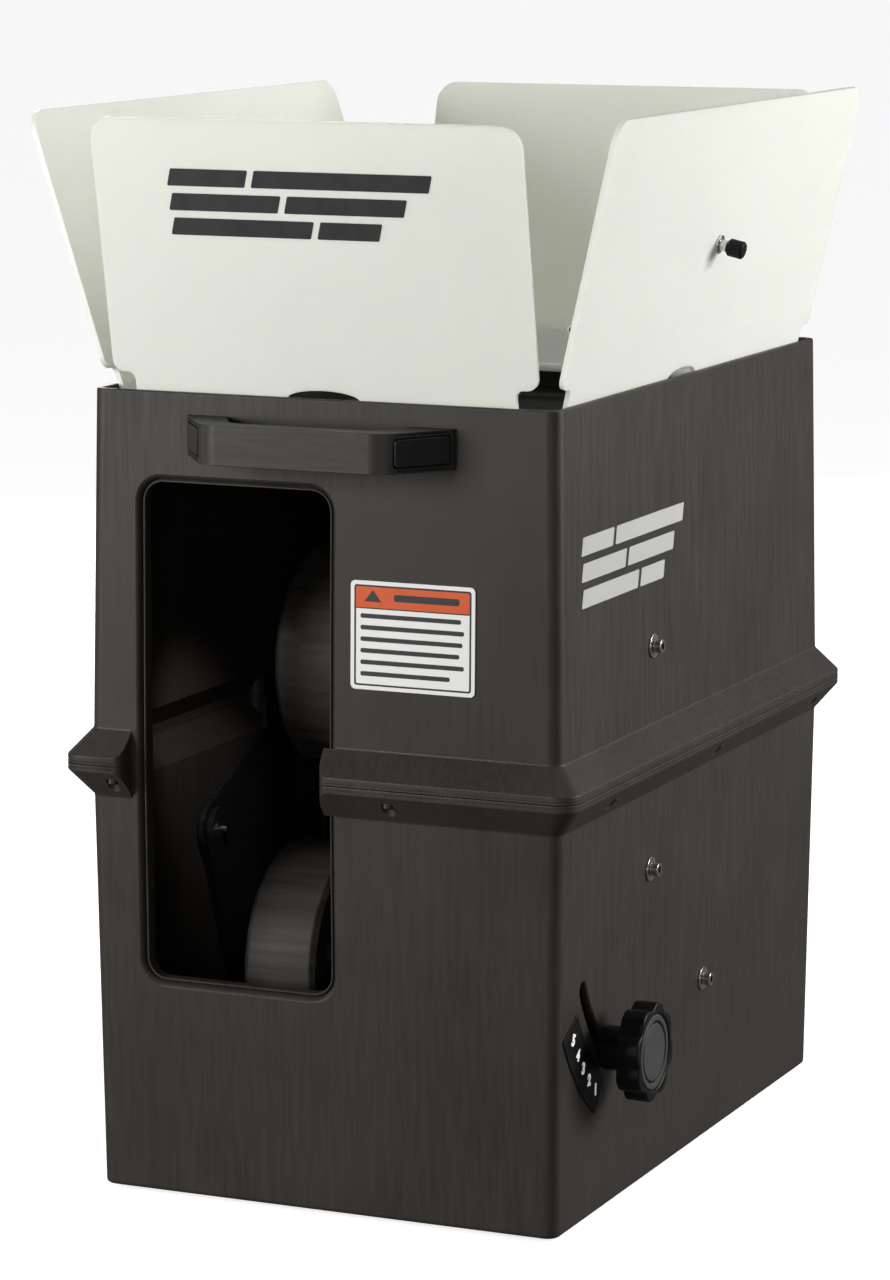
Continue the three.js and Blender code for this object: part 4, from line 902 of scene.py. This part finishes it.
def controls():
    middle = (CONTROL["z0"] + CONTROL["z1"]) / 2
    place = on_wall("back", 0, middle) @ Matrix.Translation((0, 0, 0.4))
    half_z = (CONTROL["z1"] - CONTROL["z0"]) / 2
    half_x = CONTROL["x"]
    plate = make("control_plate", slab(rounded_rect(-half_x, -half_z, half_x, half_z, 6, 8), 0, 3))
    dial_at = {"speed": (42, 12), "feed": (0, 12)}
    power, socket = (-44, 12), (-44, -26)
    holes = [slab(arc(x, y, 4, 0, 350, 35), -5, 8) for x, y in dial_at.values()]
    holes.append(slab(arc(*socket, 8.3, 0, 350, 35), -5, 8))
    holes.append(slab(rounded_rect(power[0] - 14, power[1] - 9.5, power[0] + 14, power[1] + 9.5, 0.6, 3),
                      -5, 8))
    combine(plate, holes)
    dress(plate, "housing", BLACK_METAL, "control_panel", place, edge=0.6, sharp=30)

    for name, (x, y) in dial_at.items():
        turn = place @ Matrix.Translation((x, y, 0))
        skirt = fluted([13 * (1 - 0.035 * (k % 2)) for k in range(48)])
        grip = fluted([9.8 * (1 - 0.06 * (k % 4 < 2)) for k in range(64)])
        body = make(name + "_knob", slab(skirt, 3.4, 6.2))
        combine(body, [slab(grip, 6, 19), lathe([(0, -8), (3, -8), (3, 4), (0, 4)], 32)], "UNION")
        dress(body, name + "_dial", KNOB_SIDE, name + "_dial", turn, edge=0.4, segments=2,
              sharp=30)
        rib = slab(rounded_rect(-0.9, 0, 0.9, 8.8, 0.7, 3), 18.5, 19.6)
        dress(make(name + "_index", rib), name + "_dial", WHITE_INK, (), turn)
        figures = []
        for k in range(11):
            a = 135 - 27 * k
            turned = Matrix.Rotation(rad(a), 4, "Z")
            at = turned @ Matrix.Translation((0, 15.6, 0))
            figures.append(moved(slab([(-0.3, 0), (0.3, 0), (0.3, 2.2), (-0.3, 2.2)], 2.9, 3.15), at))
            if k % 2 == 0:
                upright = Matrix.Rotation(rad(-a), 4, "Z")
                spot = turned @ Matrix.Translation((0, 19.4, 3.0)) @ upright
                figures.append(moved(lettering(str(k), 3.4, 0.25), spot))
        dress(make(name + "_figures", *figures), "housing", WHITE_INK, (), turn)

    at = place @ Matrix.Translation((*power, 0))
    surround = make("rocker_surround", slab(rounded_rect(-16, -11.5, 16, 11.5, 1.6, 5), 3.2, 5))
    combine(surround, [slab(rounded_rect(-13.7, -9.2, 13.7, 9.2, 0.6, 3), -9, 4.5)], "UNION")
    combine(surround, [slab(rounded_rect(-10.5, -7, 10.5, 7, 0.8, 4), -2, 10)])
    dress(surround, "housing", GLOSSY, "power_switch_frame", at, edge=0.35, sharp=30)
    # The rocker tips about its middle; at rest its one end is pressed in.
    rocker = fillet([(-9.5, 3.5), (0, 4.3), (9.5, 3.5), (8.5, -0.9), (0, -2.1), (-8.5, -0.9)],
                    [0.6, 5, 0.6, 0.4, 0, 0.4], 4, closed=True)
    tip = at @ Matrix.Translation((0, 0, 1.5)) @ Matrix.Rotation(rad(ROCKER_REST), 4, "Y")
    side = Matrix.Rotation(rad(90), 4, "X")
    dress(make("rocker", moved(slab(rocker, -6.5, 6.5), side)), "power_rocker", GRIP,
          "power_rocker", tip, edge=0.3)
    marks_on = [slab([(5.6, -2), (6.2, -2), (6.2, 2), (5.6, 2)], 3.78, 3.95)]
    ring_out, ring_in = arc(-5.9, 0, 2.1, 0, 345, 23), arc(-5.9, 0, 1.5, 0, 345, 23)
    marks_on.append(loft([[(px, py, h) for px, py in o] for o, h in
                          ((ring_out, 3.72), (ring_out, 3.92), (ring_in, 3.92), (ring_in, 3.72))], loop=True))
    dress(make("rocker_marks", *marks_on), "power_rocker", WHITE_INK, (), tip)

    at = place @ Matrix.Translation((*socket, 0))
    barrel = fillet([(3, -12), (8, -12), (8, 3.3), (11, 3.3), (11, 5), (5, 5), (5, -8), (3, -8)],
                    [0, 0.3, 0, 0.3, 0.6, 0.4, 0, 0], 3, closed=True)
    dress(make("socket_barrel", lathe(barrel, 64, loop=True)), "housing", STEEL, "charge_socket", at)
    screws = [moved(domed_screw(), Matrix.Translation((x, y, 3)))
              for x, y in ((-68, -43), (68, -43), (-68, 43), (68, 43))]
    dress(make("control_screws", *screws), "housing", STEEL_DARK, (), place)
    keep("control_board", BOARD, 0.3)
    keep("battery", CASE, 1.2)


# ---------------------------------------------------------------- studio

# The camera that was fitted to the photo: millimetres and degrees.
CAMERA = {"lens": 129.05, "at": (1144.9, -2653.0, 810.4), "down": 9.705, "round": 23.684}


def studio():
    """A level floor that turns up into a seamless backdrop far off, the lights and the camera."""
    sides, profile = 64, [(0.01, 0), (5, 0), (22, 0), (30, 1), (37, 4), (42, 9), (44, 16), (44, 40)]
    points = [(r * math.cos(2 * math.pi * k / sides), r * math.sin(2 * math.pi * k / sides), h)
              for r, h in profile for k in range(sides)]
    faces = []
    for j in range(len(profile) - 1):
        inner, outer = j * sides, (j + 1) * sides
        faces += [[inner + k, inner + (k + 1) % sides, outer + (k + 1) % sides, outer + k]
                  for k in range(sides)]
    faces.append(list(range(sides)))
    mesh = bpy.data.meshes.new("floor")
    mesh.from_pydata(points, [], faces)
    mesh.polygons.foreach_set("use_smooth", [True] * len(faces))
    floor = bpy.data.objects.new("floor", mesh)
    bpy.context.scene.collection.objects.link(floor)
    pale = finish("floor_white", (0.80, 0.80, 0.80), 0.9, cloud=0.004, specular=0.1, emit=0.95)
    floor.data.materials.append(pale)
    floor.visible_diffuse = floor.visible_glossy = False

    world = bpy.data.worlds.new("studio")
    world.use_nodes = True
    world.node_tree.nodes["Background"].inputs["Color"].default_value = (1, 1, 1, 1)
    world.node_tree.nodes["Background"].inputs["Strength"].default_value = 0.12
    bpy.context.scene.world = world

    def light(name, kind, at, towards, energy, width=1.0, height=1.0, angle=0.3):
        data = bpy.data.lights.new(name, kind)
        data.energy = energy
        if kind == "AREA":
            data.shape, data.size, data.size_y = "RECTANGLE", width, height
        elif kind == "SPOT":
            data.spot_size, data.spot_blend, data.shadow_soft_size = rad(38), 1.0, 0.01
        else:
            data.angle = angle
        lamp = bpy.data.objects.new(name, data)
        lamp.location = at
        lamp.rotation_euler = (Vector(towards) - Vector(at)).to_track_quat("-Z", "Y").to_euler()
        bpy.context.scene.collection.objects.link(lamp)

    light("overhead", "SUN", (0, 0, 4), (0, 0.001, 0), 0.3, angle=rad(16))
    light("front_box", "AREA", (-1.4, -1.9, 0.8), (0, -0.2, 0.35), 40, 0.9, 0.9)
    light("side_box", "AREA", (1.9, 0.9, 0.95), (0.1, 0, 0.4), 44, 1.0, 0.9)
    light("back_box", "AREA", (-1.6, 2.2, 1.1), (0, 0, 0.4), 24, 1.0, 1.0)
    light("fill_box", "AREA", (0.8, -2.6, 0.6), (-0.1, 0, 0.3), 4, 0.8, 0.8)
    # A little light that comes down through the hopper onto the inside of the left wall.
    light("hopper_glow", "SPOT", IN_MM @ Vector((-40, -200, 405)), IN_MM @ Vector((-160, -80, 226)), 0.8)

    camera = bpy.data.objects.new("camera", bpy.data.cameras.new("camera"))
    camera.data.lens, camera.data.clip_end = CAMERA["lens"], 200
    camera.location = IN_MM @ Vector(CAMERA["at"])
    camera.rotation_euler = (rad(90 - CAMERA["down"]), 0, rad(CAMERA["round"]))
    bpy.context.scene.collection.objects.link(camera)
    bpy.context.scene.camera = camera
    bpy.context.scene.view_settings.view_transform = "Standard"


housing()
feet()
side_screws()
for each_side in PANELS:
    panel(each_side)
latch()
handle()
label()
marks("front_marks", "front_panel", INK,
      panel_place("front") @ Matrix.Translation((-6, 144, SHEET / 2)), 168, 40)
marks("side_marks", "housing", WHITE_INK, on_wall("right", -110, 396), 166, 42)
scale()
elevation_knob()
throwing_head()
feeder()
controls()
for plate_node in ("right_chassis_plate", "left_chassis_plate"):
    keep(plate_node, BLACK_METAL, 0.6)
studio()
